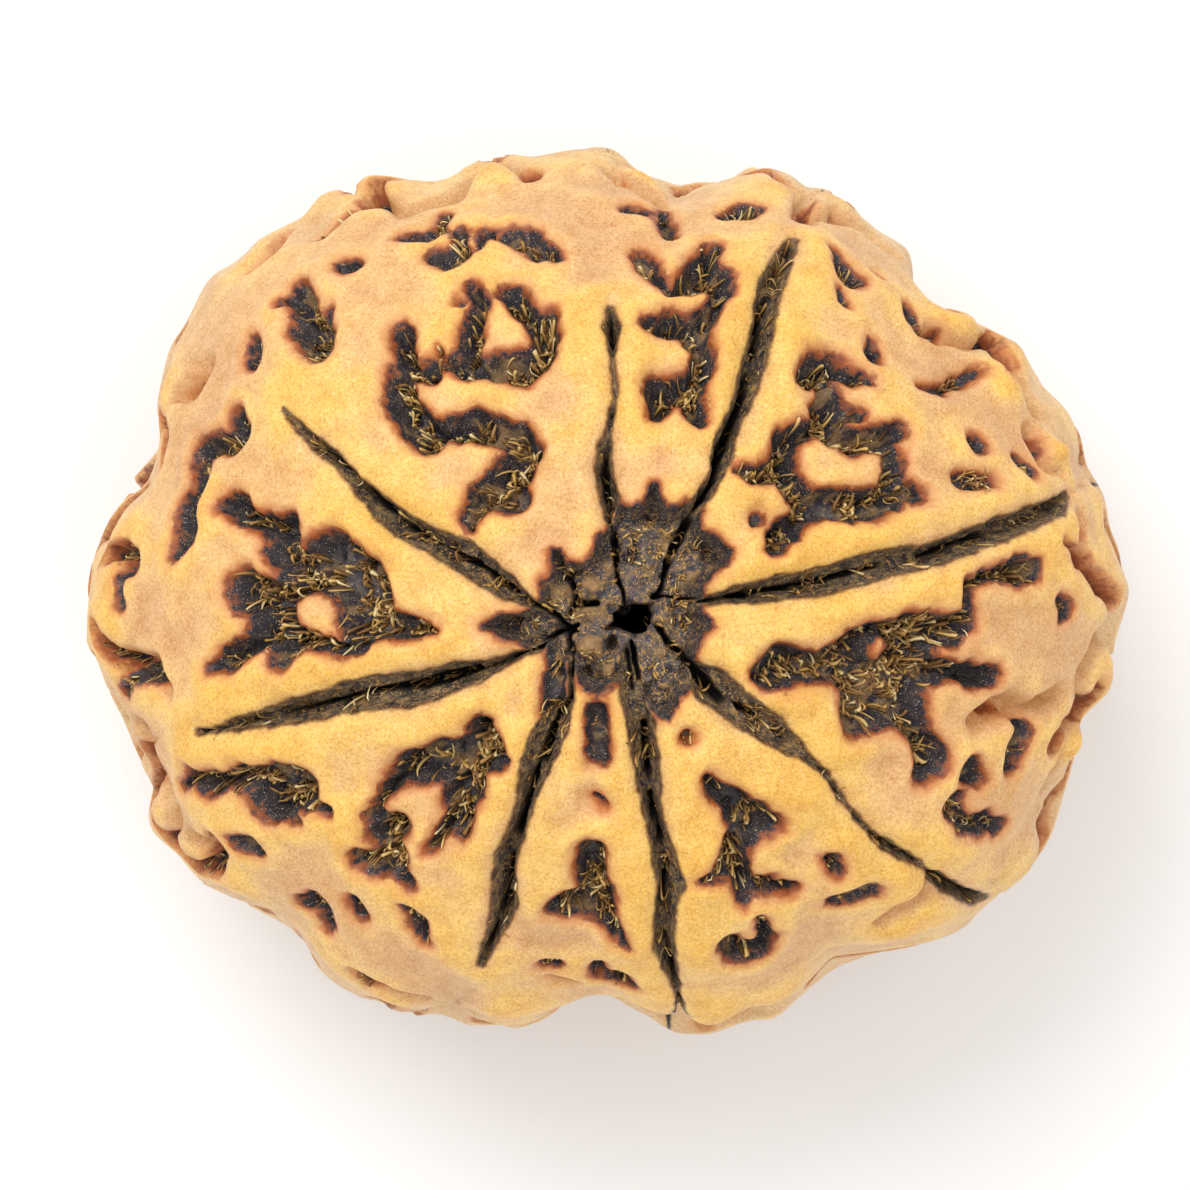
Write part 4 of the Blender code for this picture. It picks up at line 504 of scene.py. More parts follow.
# Smooth islands that stand in the nets
ISLANDS = {
    "west_net": (((-7.35, -0.3, .27), (-7.2, -0.65, .3), (-6.95, -0.95, .17)),),
    "east_net": (((6.55, -1.25, .22), (6.5, -1.6, .12)),),
    "north_east_net": (((4.8, 3.4, .3), (4.95, 3.0, .33), (5.4, 2.8, .2), (5.9, 2.8, .28), (6.3, 2.8, .33)),),
    "south_east_shoulder": (((9.14, -5.15, .35),),),
}

# Creases where the crown's ridges end above the knobs of the belt
CREASES = (
    ((-6.9, 9.95), (-6.3, 9.9), (-5.9, 9.75), (-5.1, 9.45), (-4.4, 9.65)),
    ((-3.94, 9.77), (-3.3, 10.35), (-2.64, 10.55), (-2.0, 10.2)),
    ((0.06, 10.35), (0.5, 10.15), (0.92, 10.05), (1.2, 9.65)),
    ((4.6, 10.0), (4.75, 9.6), (4.75, 9.2)),
    ((5.2, 9.4), (5.7, 9.3), (6.3, 9.0), (6.7, 8.85), (7.0, 8.5)),
    ((8.0, 6.4), (8.6, 6.2), (9.3, 6.1), (9.7, 5.45), (10.2, 5.1), (10.45, 4.6)),
    ((10.46, 3.93), (10.53, 3.53), (10.64, 3.17), (11.13, 2.99)),
    ((11.6, 1.8), (11.65, 1.2), (11.74, 0.66), (11.98, 0.19), (12.4, -0.2)),
    ((12.4, -0.9), (11.98, -1.49), (11.65, -2.1), (11.55, -2.78)),
    ((11.4, -3.3), (11.2, -3.83), (10.98, -4.5), (10.88, -5.2)),
    ((11.0, -2.6), (10.5, -2.85), (10.1, -3.1)),
    ((-11.9, -1.6), (-11.2, -1.9), (-10.9, -2.4)),
    ((-8.1, 8.9), (-8.48, 8.33), (-8.9, 8.05)),
    ((-10.05, 5.6), (-10.4, 5.1), (-10.8, 4.84)),
    ((-11.65, -3.45), (-11.4, -4.17), (-11.1, -4.9), (-10.8, -5.4), (-10.75, -6.2)),
    ((-10.17, -6.13), (-9.64, -6.37), (-9.55, -6.85)),
    ((-6.3, -9.34), (-5.53, -9.72), (-4.76, -10.0)),
    ((7.9, -7.1), (7.6, -7.5), (7.2, -7.75), (6.7, -8.15)),
    ((9.1, -3.16), (9.45, -2.9), (9.78, -2.75), (10.1, -2.8)),
)

# Round knobs round the rim of the crown: x, y, radius
RIM_KNOBS = (
    (8.5, 6.65, 0.8), (9.9, 5.85, 0.8), (9.55, 5.1, 0.6), (11.2, 4.3, 0.8), (11.0, 3.3, 0.5),
    (12.0, 2.25, 0.6), (12.3, 1.05, 0.8), (12.5, 0.14, 0.6), (12.1, -2.3, 0.8), (11.3, -3.8, 0.5),
    (10.2, -6.6, 1.0), (7.0, -8.3, 1.0), (4.2, -9.9, 0.8), (2.5, -10.3, 0.9), (-2.4, -10.2, 1.0),
    (-5.3, -9.9, 0.9), (-6.9, -9.1, 0.9), (-9.1, -7.2, 0.7), (-10.0, -6.8, 0.8), (-11.1, -5.5, 0.7),
    (-12.1, 1.4, 1.2), (-12.4, -0.6, 1.0), (-10.8, 5.3, 0.9), (-9.15, 8.0, 0.6), (-8.4, 8.7, 0.8),
    (-6.75, 9.75, 0.8), (-5.6, 9.9, 0.7), (-2.7, 10.3, 1.0), (-0.25, 10.6, 1.0), (0.85, 10.2, 0.5),
    (3.85, 9.9, 1.1), (5.5, 9.65, 0.7),
)


def smooth_step(value):
    value = np.clip(value, 0.0, 1.0)
    return value * value * (3.0 - 2.0 * value)


def smooth_low(first, second, width):
    """The lower of two distances, rounded where they meet."""
    share = np.clip(0.5 + 0.5 * (second - first) / width, 0.0, 1.0)
    return second + (first - second) * share - width * share * (1.0 - share)


def grain(points, size, seed):
    """Smooth noise from -1 to 1 on a lattice of this size."""
    place = points / size + 500.0
    cell = np.floor(place).astype(np.int64)
    part = place - cell
    part = part * part * (3.0 - 2.0 * part)
    total = np.zeros(len(points))
    for corner in range(8):
        step = np.array([corner & 1, corner >> 1 & 1, corner >> 2 & 1])
        at = cell + step
        mixed = at[:, 0] * 374761393 + at[:, 1] * 668265263 + at[:, 2] * 2147483647 + seed * 97531
        mixed = (mixed ^ (mixed >> 13)) * 1274126177 & 0xFFFFFFFF
        mixed = (mixed ^ (mixed >> 16)) & 0xFFFF
        share = np.prod(np.where(step, part, 1.0 - part), axis=1)
        total += share * (mixed / 32767.5 - 1.0)
    return total


def rough(points, roughness, seed):
    size, tall = roughness
    return tall * grain(points, size, seed)


class Form:
    """The smooth form that carries the relief: a full ellipsoid round the axis, as broad as the outline."""

    def __init__(self):
        outline = np.array(OUTLINE) - AXIS
        angle = np.arctan2(outline[:, 1], outline[:, 0])
        order = np.argsort(angle)
        self.angles = np.radians(np.arange(-180.0, 180.0, 0.5))
        radius = np.hypot(*outline.T)[order]
        rim = np.interp(self.angles, angle[order], radius, period=2 * math.pi)
        self.rim = self.blurred(rim, RIM_BLUR)
        self.shoulder = self.blurred(rim, SHOULDER_BLUR)

    def blurred(self, values, degrees_wide):
        turns = np.fft.rfftfreq(len(values), math.radians(0.5) / (2 * math.pi))
        fade = np.exp(-0.5 * (turns * math.radians(degrees_wide)) ** 2)
        return np.fft.irfft(np.fft.rfft(values) * fade, len(values))

    def rim_radius(self, angle):
        return np.interp(angle, self.angles, self.rim, period=2 * math.pi)

    def shoulder_radius(self, angle):
        return np.interp(angle, self.angles, self.shoulder, period=2 * math.pi)

    def point(self, directions):
        """Where a ray from the centre meets the smooth form, measured from the centre."""
        flat = np.hypot(directions[:, 0], directions[:, 1])
        angle = np.arctan2(directions[:, 1], directions[:, 0])
        tall = np.where(directions[:, 2] > 0, CROWN_HEIGHT, HEEL_DEPTH)
        reach = (flat / self.shoulder_radius(angle)) ** FULLNESS + np.abs(directions[:, 2] / tall) ** FULLNESS
        return directions / (reach ** (1 / FULLNESS))[:, None]

    def on_crown(self, x, y):
        """The point of the form under x, y as seen from above."""
        x, y = x - AXIS[0], y - AXIS[1]
        out = min(math.hypot(x, y) / float(self.shoulder_radius(math.atan2(y, x))), CROWN_EDGE)
        return np.array([x, y, CROWN_HEIGHT * (1 - out**FULLNESS) ** (1 / FULLNESS)])

    def on_side(self, longitude, latitude):
        """The point of the form at this longitude and latitude, in degrees."""
        turn, rise = math.radians(longitude), math.radians(latitude)
        direction = (math.cos(rise) * math.cos(turn), math.cos(rise) * math.sin(turn), math.sin(rise))
        return self.point(np.array([direction]))[0]


def stroke_distance(points, strokes, rounding=0.12):
    """Distance from each point to the nearest stroke's edge, below zero inside it."""
    nearest = np.full(len(points), FAR)
    for stroke in strokes:
        ends = stroke[1:] or stroke
        for (start, wide), (end, wide_end) in zip(stroke, ends):
            along = end - start
            share = np.clip((points - start) @ along / max(along @ along, 1e-9), 0.0, 1.0)
            gap = np.linalg.norm(points - start - share[:, None] * along, axis=1)
            nearest = smooth_low(nearest, gap - wide - share * (wide_end - wide), rounding)
    return nearest


def near(points, strokes, margin):
    """The numbers of the points in the box round the strokes, widened by the margin."""
    places = np.array([place for stroke in strokes for place, _ in stroke])
    low, high = places.min(axis=0) - margin, places.max(axis=0) + margin
    return np.nonzero(((points > low) & (points < high)).all(axis=1))[0]


def polygon_distance(points, corners):
    """Distance to a polygon's edge in plan, below zero inside it."""
    corners = np.array(corners)
    nearest = np.full(len(points), np.inf)
    inside = np.zeros(len(points), bool)
    for start, end in zip(corners, np.roll(corners, -1, axis=0)):
        along = end - start
        share = np.clip((points - start) @ along / (along @ along), 0.0, 1.0)
        nearest = np.minimum(nearest, np.linalg.norm(points - start - share[:, None] * along, axis=1))
        crosses = (start[1] > points[:, 1]) != (end[1] > points[:, 1])
        rise = end[1] - start[1] or 1e-9
        inside ^= crosses & (points[:, 0] < start[0] + (points[:, 1] - start[1]) * along[0] / rise)
    return np.where(inside, -nearest, nearest)


def seam_strokes(form):
    """The hairline seams down the sides, and the clefts that open again round the heel."""
    seams, openings = [], []
    for high, middle, low in SEAMS.values():
        wander = [SEAM_WANDER * math.sin(SEAM_WAVE * latitude + middle) for latitude in SEAM_LATITUDES]
        longitudes = np.interp(SEAM_LATITUDES[::-1], (-42, 0, 42), (low, middle, high))[::-1] + wander
        sides = [form.on_side(*place) for place in zip(longitudes, SEAM_LATITUDES)]
        seams.append([(place, SEAM_WIDTH) for place in sides])
        heel = [form.on_side(longitudes[-1] + 0.25 * (-42 - rise), rise) for rise in HEEL_LATITUDES]
        openings.append(list(zip(heel, HEEL_CLEFT_WIDTHS)))
    return seams, openings


def line_gap(place, lines):
    """Distance from one place to the nearest point that the strokes run through, less its half width."""
    return (np.linalg.norm(lines[:, :3] - place, axis=1) - lines[:, 3]).min()


def as_rows(strokes):
    return np.array([(*place, wide) for stroke in strokes for place, wide in stroke])


def side_features(form, lines, crown_strokes):
    """Knobs and pits of the belt, sides and heel, scattered clear of the seams and of the crown's pits."""
    draw = np.random.default_rng(SIDE_SEED)
    lines, crown_strokes = as_rows(lines), as_rows(crown_strokes)
    knobs, pits = [], []

    def spot_between(latitudes):
        longitude, rise = draw.uniform(0, 360), draw.uniform(*np.sin(np.radians(latitudes)))
        return form.on_side(longitude, math.degrees(math.asin(rise)))

    for _ in range(KNOB_TRIES):
        place = spot_between(KNOB_LATITUDES)
        apart = all(math.dist(place, other[0]) > KNOB_SPACING for other in knobs)
        if apart and line_gap(place, lines) > SEAM_CLEARANCE:
            knobs.append((place, draw.uniform(0.55, 1.0) * KNOB_HEIGHT, draw.uniform(0.8, 1.2) * KNOB_RADIUS))
    for _ in range(SIDE_PIT_TRIES):
        place = spot_between(SIDE_PIT_LATITUDES)
        if line_gap(place, lines) < SEAM_CLEARANCE or line_gap(place, crown_strokes) < CROWN_PIT_CLEARANCE:
            continue
        if any(math.dist(place, other[0][0]) < SIDE_PIT_SPACING for other in pits):
            continue
        heading = draw.uniform(0, 2 * math.pi)
        stroke = [(place, draw.uniform(*SIDE_PIT_RADIUS))]
        for _ in range(draw.integers(1, 7)):
            heading += draw.uniform(-SIDE_PIT_BEND, SIDE_PIT_BEND)
            east = np.cross((0, 0, 1), place)
            east /= np.linalg.norm(east)
            north = np.cross(place, east)
            north /= np.linalg.norm(north)
            step = (east * math.cos(heading) + north * math.sin(heading)) * draw.uniform(*SIDE_PIT_STEP)
            place = form.point((place + step)[None] / np.linalg.norm(place + step))[0]
            if line_gap(place, lines) < SEAM_CLEARANCE:
                break
            stroke.append((place, draw.uniform(*SIDE_PIT_RADIUS)))
        pits.append(stroke)
    return knobs, pits


def relief(form, points):
    """Height of the surface over the form at each point, and what its colours follow."""
    height = rough(points, UNDULATION, 1) + rough(points, RIPPLE, 2) + rough(points, FINE_RIPPLE, 3)
    height += rough(points, BULGES, 14)
    ragged = rough(points, RAGGED_EDGE, 4) + rough(points, FINE_RAGGED_EDGE, 5)
    side = smooth_step((SIDE_TOP - points[:, 2]) / SIDE_BAND)
    bent = points + rough(points, RIDGE_BEND, 7)[:, None]
    winding = np.hypot(grain(bent, RIDGE_SPACING, 6), RIDGE_ROUNDING)
    height += side * (rough(points, SIDE_RIPPLE, 8) + RIDGE_HEIGHT * (0.5 - 2.0 * winding))

    clefts = [[(form.on_crown(x, y), wide) for x, y, wide in line] for line in CLEFTS.values()]
    pits = {
        name: (deep, [[(form.on_crown(x, y), wide) for x, y, wide in stroke] for stroke in strokes])
        for name, (deep, strokes) in PITS.items()
    }
    seams, openings = seam_strokes(form)
    crown_strokes = clefts + [stroke for _, strokes in pits.values() for stroke in strokes]
    knobs, side_pits = side_features(form, seams + openings, crown_strokes)

    rim_knobs = [(form.on_crown(x, y), RIM_KNOB_HEIGHT, wide) for x, y, wide in RIM_KNOBS]
    for place, tall, wide in knobs + rim_knobs:
        local = near(points, [[(place, 0.0)]], 3 * wide)
        gap = np.linalg.norm(points[local] - place, axis=1)
        height[local] += tall * np.exp(-((gap / wide) ** 2))

    pit_gap = np.full(len(points), FAR)
    slot_gap = np.full(len(points), FAR)
    for line in seams:
        local = near(points, [line], 3 * SEAM_VALLEY_WIDTH)
        gap = stroke_distance(points[local], [line])
        low = smooth_step((SEAM_TOP - points[local, 2]) / SEAM_BAND)
        share = SEAM_ON_CROWN + (1.0 - SEAM_ON_CROWN) * low
        height[local] -= share * SEAM_VALLEY_DEPTH * np.exp(-((gap / SEAM_VALLEY_WIDTH) ** 2))
        height[local] -= share * SEAM_DEPTH * smooth_step(0.5 - gap / SEAM_WALL)
        slot_gap[local] = np.minimum(slot_gap[local], gap + SEAM_MARK_EASE + SEAM_MARK_FADE * (1.0 - low))

    cut = np.zeros(len(points))
    lips = np.zeros(len(points))
    cleft_gap = np.full(len(points), FAR)
    broken = rough(points, CRACK_BREAKS, 11)
    gaping = np.full(len(points), FAR)
    for line in CRACK_GAPS:
        stroke = [(form.on_crown(x, y), wide) for x, y, wide in line]
        local = near(points, [stroke], LIP_REACH)
        gaping[local] = np.minimum(gaping[local], stroke_distance(points[local], [stroke]) + GAPE_EASE)
    for line, lip in [(line, LIP_HEIGHT) for line in clefts] + [(line, HEEL_LIP_HEIGHT) for line in openings]:
        local = near(points, [line], 3 * LIP_REACH)
        gap = stroke_distance(points[local], [line])
        lips[local] = np.maximum(lips[local], lip * np.exp(-(((gap - 0.5 * LIP_REACH) / LIP_REACH) ** 2)))
        sharp = gap + CLEFT_RAGGEDNESS * ragged[local]
        crack = stroke_distance(points[local], [[(place, 0.0) for place, _ in line]]) - FINE_CRACK_RADIUS
        crack = np.minimum(crack + broken[local] + CRACK_RAGGEDNESS * ragged[local], gaping[local])
        crack = np.maximum(crack, sharp + CRACK_MARGIN)
        deep = CLEFT_SHELF + (CLEFT_DEPTH - CLEFT_SHELF) * smooth_step(0.5 - crack / FINE_CRACK_WALL)
        cut[local] = np.maximum(cut[local], deep * smooth_step(CLEFT_WALL_START - sharp / FINE_WALL))
        height[local] -= EDGE_ROUNDING[1] * np.exp(-((sharp / EDGE_ROUNDING[0]) ** 2))
        cleft_gap[local] = np.minimum(cleft_gap[local], sharp)
        slot_gap[local] = np.minimum(slot_gap[local], crack)
    height += lips

    for name, (deep, strokes) in pits.items():
        local = near(points, strokes, PIT_MARGIN)
        gap = stroke_distance(points[local], strokes) + ragged[local]
        for island in ISLANDS.get(name, ()):
            shape = [[(form.on_crown(x, y), wide) for x, y, wide in island]]
            gap = -smooth_low(-gap, stroke_distance(points[local], shape), ISLAND_ROUNDING)
        height[local] += RIM_HEIGHT * (deep / DEEP) * np.exp(-(((gap - RIM_OFFSET) / RIM_REACH) ** 2))
        dish = PIT_DISH * np.clip(-gap / DISH_REACH, 0, 1)
        height[local] -= EDGE_ROUNDING[1] * np.exp(-((gap / EDGE_ROUNDING[0]) ** 2))
        hollow = deep * ((1.0 - PIT_DISH) * smooth_step(PIT_WALL_START - gap / FINE_WALL) + dish)
        cut[local] = np.maximum(cut[local], hollow)
        pit_gap[local] = np.minimum(pit_gap[local], gap + (SHALLOW_PIT_FADE if deep == SHALLOW else 0.0))

    for stroke in side_pits:
        local = near(points, [stroke], PIT_MARGIN)
        gap = stroke_distance(points[local], [stroke]) + ragged[local]
        height[local] += RIM_HEIGHT * np.exp(-(((gap - RIM_OFFSET) / RIM_REACH) ** 2))
        cut[local] = np.maximum(cut[local], SIDE_PIT_DEPTH * smooth_step(PIT_WALL_START - gap / FINE_WALL))
        pit_gap[local] = np.minimum(pit_gap[local], gap + SIDE_PIT_FADE)

    for line in CREASES:
        stroke = [(form.on_crown(x, y), 0.0) for x, y in line]
        local = near(points, [stroke], 3 * CREASE_REACH)
        gap = stroke_distance(points[local], [stroke])
        height[local] -= CREASE_DEPTH * np.exp(-((gap / CREASE_REACH) ** 2))
        height[local] -= FINE_CREASE * np.exp(-((gap / FINE_CREASE_REACH) ** 2))

    # The broken plateau round the mouth has its own lumps, and the clefts' cracks run on across it
    crown = np.nonzero((points[:, 2] > 0) & (np.hypot(points[:, 0], points[:, 1]) < CROWN_RADIUS))[0]
    plan = points[crown, :2] + AXIS
    gap = polygon_distance(plan, PLATEAU) + ragged[crown]
    sunk = smooth_step(PIT_WALL_START - gap / FINE_WALL)
    height[crown] *= 1.0 - sunk
    level = PLATEAU_DEPTH + PLATEAU_UNEVENNESS * rough(points[crown], RAGGED_EDGE, 13)
    level += rough(points[crown], PLATEAU_GRAIN, 16)
    uneven = 1.0 + rough(points[crown], LUMP_UNEVENNESS, 15)
    for x, y, wide, tall in PLATEAU_LUMPS:
        away = np.hypot(plan[:, 0] - x, plan[:, 1] - y) * uneven + LUMP_RAGGEDNESS * ragged[crown]
        level -= tall * smooth_step(0.5 - (away - wide) / LUMP_EDGE)
    flat = plan + CRACK_RAGGEDNESS * ragged[crown][:, None]
    cracks = [[(np.array((x, y)), wide) for x, y, wide in line] for line in PLATEAU_CRACKS]
    gap_to_crack = stroke_distance(flat, cracks) + PLATEAU_CRACK_BREAKS * broken[crown]
    level += (CLEFT_DEPTH - PLATEAU_DEPTH) * smooth_step(0.5 - gap_to_crack / FINE_CRACK_WALL)
    cut[crown] = np.maximum(cut[crown] * (1.0 - POLE_EASE * sunk), level * sunk)
    pit_gap[crown] = np.minimum(pit_gap[crown], gap)
    slot_gap[crown] = np.minimum(slot_gap[crown], np.where(sunk > 0.5, gap_to_crack, FAR))
    plateau = np.zeros(len(points))
    plateau[crown] = sunk
    mouth = polygon_distance(plan, MOUTH) + MOUTH_RAGGEDNESS * ragged[crown]
    cut[crown] = np.maximum(cut[crown], MOUTH_DEPTH * smooth_step(0.4 - mouth / MOUTH_WALL))

    heel = np.nonzero((points[:, 2] < 0) & (np.hypot(points[:, 0], points[:, 1]) < HEEL_RADIUS))[0]
    x, y = (points[heel, :2] + AXIS - HEEL_HOLLOW[:2]).T
    lobes = 1.0 + HEEL_WAVE * np.sin(len(CLEFTS) * np.arctan2(y, x))
    gap = np.hypot(x, y) - HEEL_HOLLOW[2] * lobes + ragged[heel]
    sunk = smooth_step(PIT_WALL_START - gap / PLATEAU_WALL)
    height[heel] *= 1.0 - sunk
    cut[heel] = np.maximum(cut[heel] * (1.0 - POLE_EASE * sunk), HEEL_HOLLOW_DEPTH * sunk)
    plateau[heel] = sunk

    # What is left of the pulp makes the floors of the pits rough
    floor = smooth_step((cut - FLOOR_START) / FLOOR_BAND)
    pulp = rough(points, PULP, 9) + rough(points, FINE_PULP, 10) + rough(points, FINEST_PULP, 12)
    cut -= floor * (pulp + PULP_LAYER * (1.0 - plateau) * (cleft_gap > PULP_CLEARANCE))

    # Along the belt the outline alone sets how far the stone reaches
    angle = np.arctan2(points[:, 1], points[:, 0])
    sway = BELT_SWAY * (0.6 * np.sin(5 * angle + 1.0) + 0.4 * np.sin(11 * angle))
    above = points[:, 2] - sway
    off = above / np.where(above > 0, BELT_RISE, BELT_DROP)
    reach = form.rim_radius(angle) - form.shoulder_radius(angle)
    proud = np.maximum(height, 0.0) * np.exp(-((off / BELT_PROUD_BAND) ** 2))
    dip = np.minimum(height, 0.0) * np.exp(-((off * BELT_DIP_SHARPNESS) ** 2))
    marks = {
        "lift": height, "depth": cut, "pit_gap": pit_gap, "cleft_gap": cleft_gap, "slot_gap": slot_gap,
        "plateau": plateau, "pulp": floor * pulp,
    }
    return height - BELT_HOLD * proud - dip + reach * np.exp(-(off**2)) - cut, marks


def directions_of(mesh, middle):
    """The direction of each of the mesh's points from the middle, and how far off it is."""
    spots = np.empty(len(mesh.vertices) * 3)
    mesh.vertices.foreach_get("co", spots)
    away = spots.reshape(-1, 3) / MM - middle
    far = np.linalg.norm(away, axis=1)
    return away / far[:, None], far


def active(name):
    """Names the object that an operator has just added, and leaves it the only one selected."""
    bpy.context.object.name = name
    return bpy.context.object


def finish_with(piece, kind, **settings):
    """Adds a modifier to the piece and applies it."""
    modifier = piece.modifiers.new(kind.title(), kind)
    for name, value in settings.items():
        setattr(modifier, name, value)
    bpy.context.view_layer.objects.active = piece
    bpy.ops.object.modifier_apply(modifier=modifier.name)


def linear(colour):
    """An sRGB hex colour as the linear values that a shader takes."""
    parts = [int(colour[at:at + 2], 16) / 255 for at in (1, 3, 5)]
    return (*[c / 12.92 if c <= 0.04045 else ((c + 0.055) / 1.055) ** 2.4 for c in parts], 1.0)


def add_node(material, kind, output, inputs=(), stops=(), **settings):
    """Adds a node and returns one output. Inputs are values, sRGB hex colours or sockets to link."""
    tree = material.node_tree
    made = tree.nodes.new(kind)
    for name, value in settings.items():
        setattr(made, name, value)
    for number, (place, colour) in enumerate(stops):
        stop = made.color_ramp.elements[number] if number < 2 else made.color_ramp.elements.new(place)
        stop.position = place
        stop.color = linear(colour)
    for name, value in dict(inputs).items():
        if isinstance(value, bpy.types.NodeSocket):
            tree.links.new(value, made.inputs[name])
        else:
            made.inputs[name].default_value = linear(value) if isinstance(value, str) else value
    return made.outputs[output]


form = Form()
levels = SUBDIVISIONS
bpy.ops.mesh.primitive_ico_sphere_add(subdivisions=levels, radius=MM)
stone = active("stone")
directions, _ = directions_of(stone.data, np.zeros(3))
points = form.point(directions)
height, _ = relief(form, points)
surface = points + directions * height[:, None] + (*AXIS, EQUATOR_HEIGHT)
shift = -0.5 * (surface.min(axis=0) + surface.max(axis=0)) * (1, 1, 0)
stone.data.vertices.foreach_set("co", ((surface + shift) * MM).ravel())
finish_with(stone, "DECIMATE", ratio=STONE_TRIANGLES / len(stone.data.polygons))

# The channel is a slim tube that wanders from pole to pole, taken out of the stone
bpy.ops.mesh.primitive_cylinder_add(vertices=CHANNEL_SIDES, radius=1, depth=2)
tube = active("channel_cutter")
bpy.ops.object.mode_set(mode="EDIT")
bpy.ops.mesh.select_mode(type="EDGE")
bpy.ops.mesh.select_all(action="DESELECT")
bpy.ops.object.mode_set(mode="OBJECT")
for edge in tube.data.edges:
    ends = [tube.data.vertices[number].co for number in edge.vertices]
    edge.select = abs(ends[0].z - ends[1].z) > 1
bpy.ops.object.mode_set(mode="EDIT")
bpy.ops.mesh.subdivide(number_cuts=CHANNEL_RINGS)
bpy.ops.object.mode_set(mode="OBJECT")
heights = [row[2] for row in CHANNEL][::-1]
for corner in tube.data.vertices:
    tall = heights[0] + (corner.co.z + 1) / 2 * (heights[-1] - heights[0])
    x, y, radius = (np.interp(tall, heights, [row[at] for row in CHANNEL][::-1]) for at in (0, 1, 3))
    turn = math.atan2(corner.co.y, corner.co.x)
    across = radius * (1 + CHANNEL_WAVE * math.sin(3 * turn + tall)) * math.hypot(corner.co.x, corner.co.y)
    spot = (x + across * math.cos(turn), y + CHANNEL_FLATTENING * across * math.sin(turn), tall)
    corner.co = [MM * value for value in spot + shift]
finish_with(stone, "BOOLEAN", operation="DIFFERENCE", object=tube, solver="MANIFOLD")
bpy.data.objects.remove(tube)

# The heel is worn level where it rests
GROUND_SIZE = 40 * MM
bpy.ops.mesh.primitive_cube_add(size=GROUND_SIZE, location=(0, 0, -0.5 * GROUND_SIZE))
ground = active("ground_cutter")
finish_with(stone, "BOOLEAN", operation="DIFFERENCE", object=ground, solver="MANIFOLD")
bpy.data.objects.remove(ground)

# What the colours follow is worked out again for the points that are left, and kept on the mesh
middle = shift + (*AXIS, EQUATOR_HEIGHT)
directions, far = directions_of(stone.data, middle)
points = form.point(directions)
height, marks = relief(form, points)
sunk = np.linalg.norm(points, axis=1) + height - far
in_channel = np.hypot(*(far[:, None] * directions[:, :2] + AXIS - CHANNEL[2][:2]).T) < CHANNEL_REACH
marks["depth"] += np.where(in_channel, np.maximum(sunk - CHANNEL_ALLOWANCE, 0.0), 0.0)
for name, values in marks.items():
    mark = stone.data.attributes.new(name, "FLOAT", "POINT")
    mark.data.foreach_set("value", values.astype(np.float32))
stone.data.shade_smooth()

# Dry woody endocarp, cleaned and oiled: gold on the ridges and peach in the valleys, as painted highlight and
# shade over patchy tone, a greyer tan on the sides as painted sheen, finely mottled by its stone cells, with
# pale specks as painted glints, toasted at the pits' rims and charred on their floors, with painted shade in
# the hollows and cracks
shell = bpy.data.materials.new("oiled_rudraksha_endocarp")
shell.use_nodes = True
shader = shell.node_tree.nodes["Principled BSDF"]
shader.inputs["IOR"].default_value = 1.46
shader.inputs["Specular IOR Level"].default_value = 0.4
place = add_node(shell, "ShaderNodeTexCoord", "Object")
lift, depth, pit_gap, cleft_gap, slot_gap, plateau, pulp = [
    add_node(shell, "ShaderNodeAttribute", "Fac", attribute_name=name) for name in marks
]

# Noises by the size of their grain on the real stone: patches, blotches, dust, stone cells and specks
patches, blotches, dust, cells, specks = [
    add_node(shell, "ShaderNodeTexNoise", "Fac", {
        "Vector": place, "Scale": 1 / (grain_size * MM), "Detail": detail, "Roughness": 0.6,
        "Distortion": bent,
    })
    for grain_size, detail, bent in ((2.2, 3, 0), (0.6, 4, 0), (0.3, 4, 0.5), (0.075, 4, 0), (0.045, 1, 0))
]

# Tan of the ridges and valleys, by height over the form and by patches of some millimetres. The ridges'
# lighter gold is painted highlight and the valleys' darker peach is painted shade
ridge_light_and_patches = add_node(shell, "ShaderNodeMath", 0, {0: patches, 1: 0.9, 2: lift}, operation="MULTIPLY_ADD")
ridge_light_and_patches = add_node(
    shell, "ShaderNodeMapRange", 0, {0: ridge_light_and_patches, 1: 0.0, 2: 1.0}, interpolation_type="SMOOTHSTEP",
)
tan = add_node(
    shell, "ShaderNodeValToRGB", "Color", {"Fac": ridge_light_and_patches},
    stops=((0.0, "#DCAF7A"), (1.0, "#F7C661"), (0.38, "#E3B47C"), (0.62, "#EFC480"), (0.82, "#F8CE74")),
)

# The sides are a greyer tan, which is painted sheen of glancing light, and the whole is mottled by blotches
# and by the stone cells' grain
height_up = add_node(shell, "ShaderNodeSeparateXYZ", "Z", {"Vector": place})
side_sheen = add_node(
    shell, "ShaderNodeMapRange", 0, {0: height_up, 1: 14.5 * MM, 2: 9.5 * MM},
    interpolation_type="SMOOTHSTEP",
)
side_sheen = add_node(shell, "ShaderNodeMath", 0, {0: side_sheen, 1: 0.75}, operation="MULTIPLY")
tan = add_node(shell, "ShaderNodeMix", 2, {0: side_sheen, 6: tan, 7: "#E6C592"}, data_type="RGBA")
mottled = add_node(
    shell, "ShaderNodeValToRGB", "Color", {"Fac": blotches}, stops=((0.3, "#EBDAC6"), (0.6, "#FFFFFF")),
)
tan = add_node(
    shell, "ShaderNodeMix", 2, {0: 0.8, 6: tan, 7: mottled}, data_type="RGBA", blend_type="MULTIPLY",
)
grains = add_node(
    shell, "ShaderNodeValToRGB", "Color", {"Fac": cells},
    stops=((0.3, "#D4BFA8"), (0.64, "#FFFFFF"), (0.47, "#F1E8DD")),
)
tan = add_node(
    shell, "ShaderNodeMix", 2, {0: 0.8, 6: tan, 7: grains}, data_type="RGBA", blend_type="MULTIPLY",
)
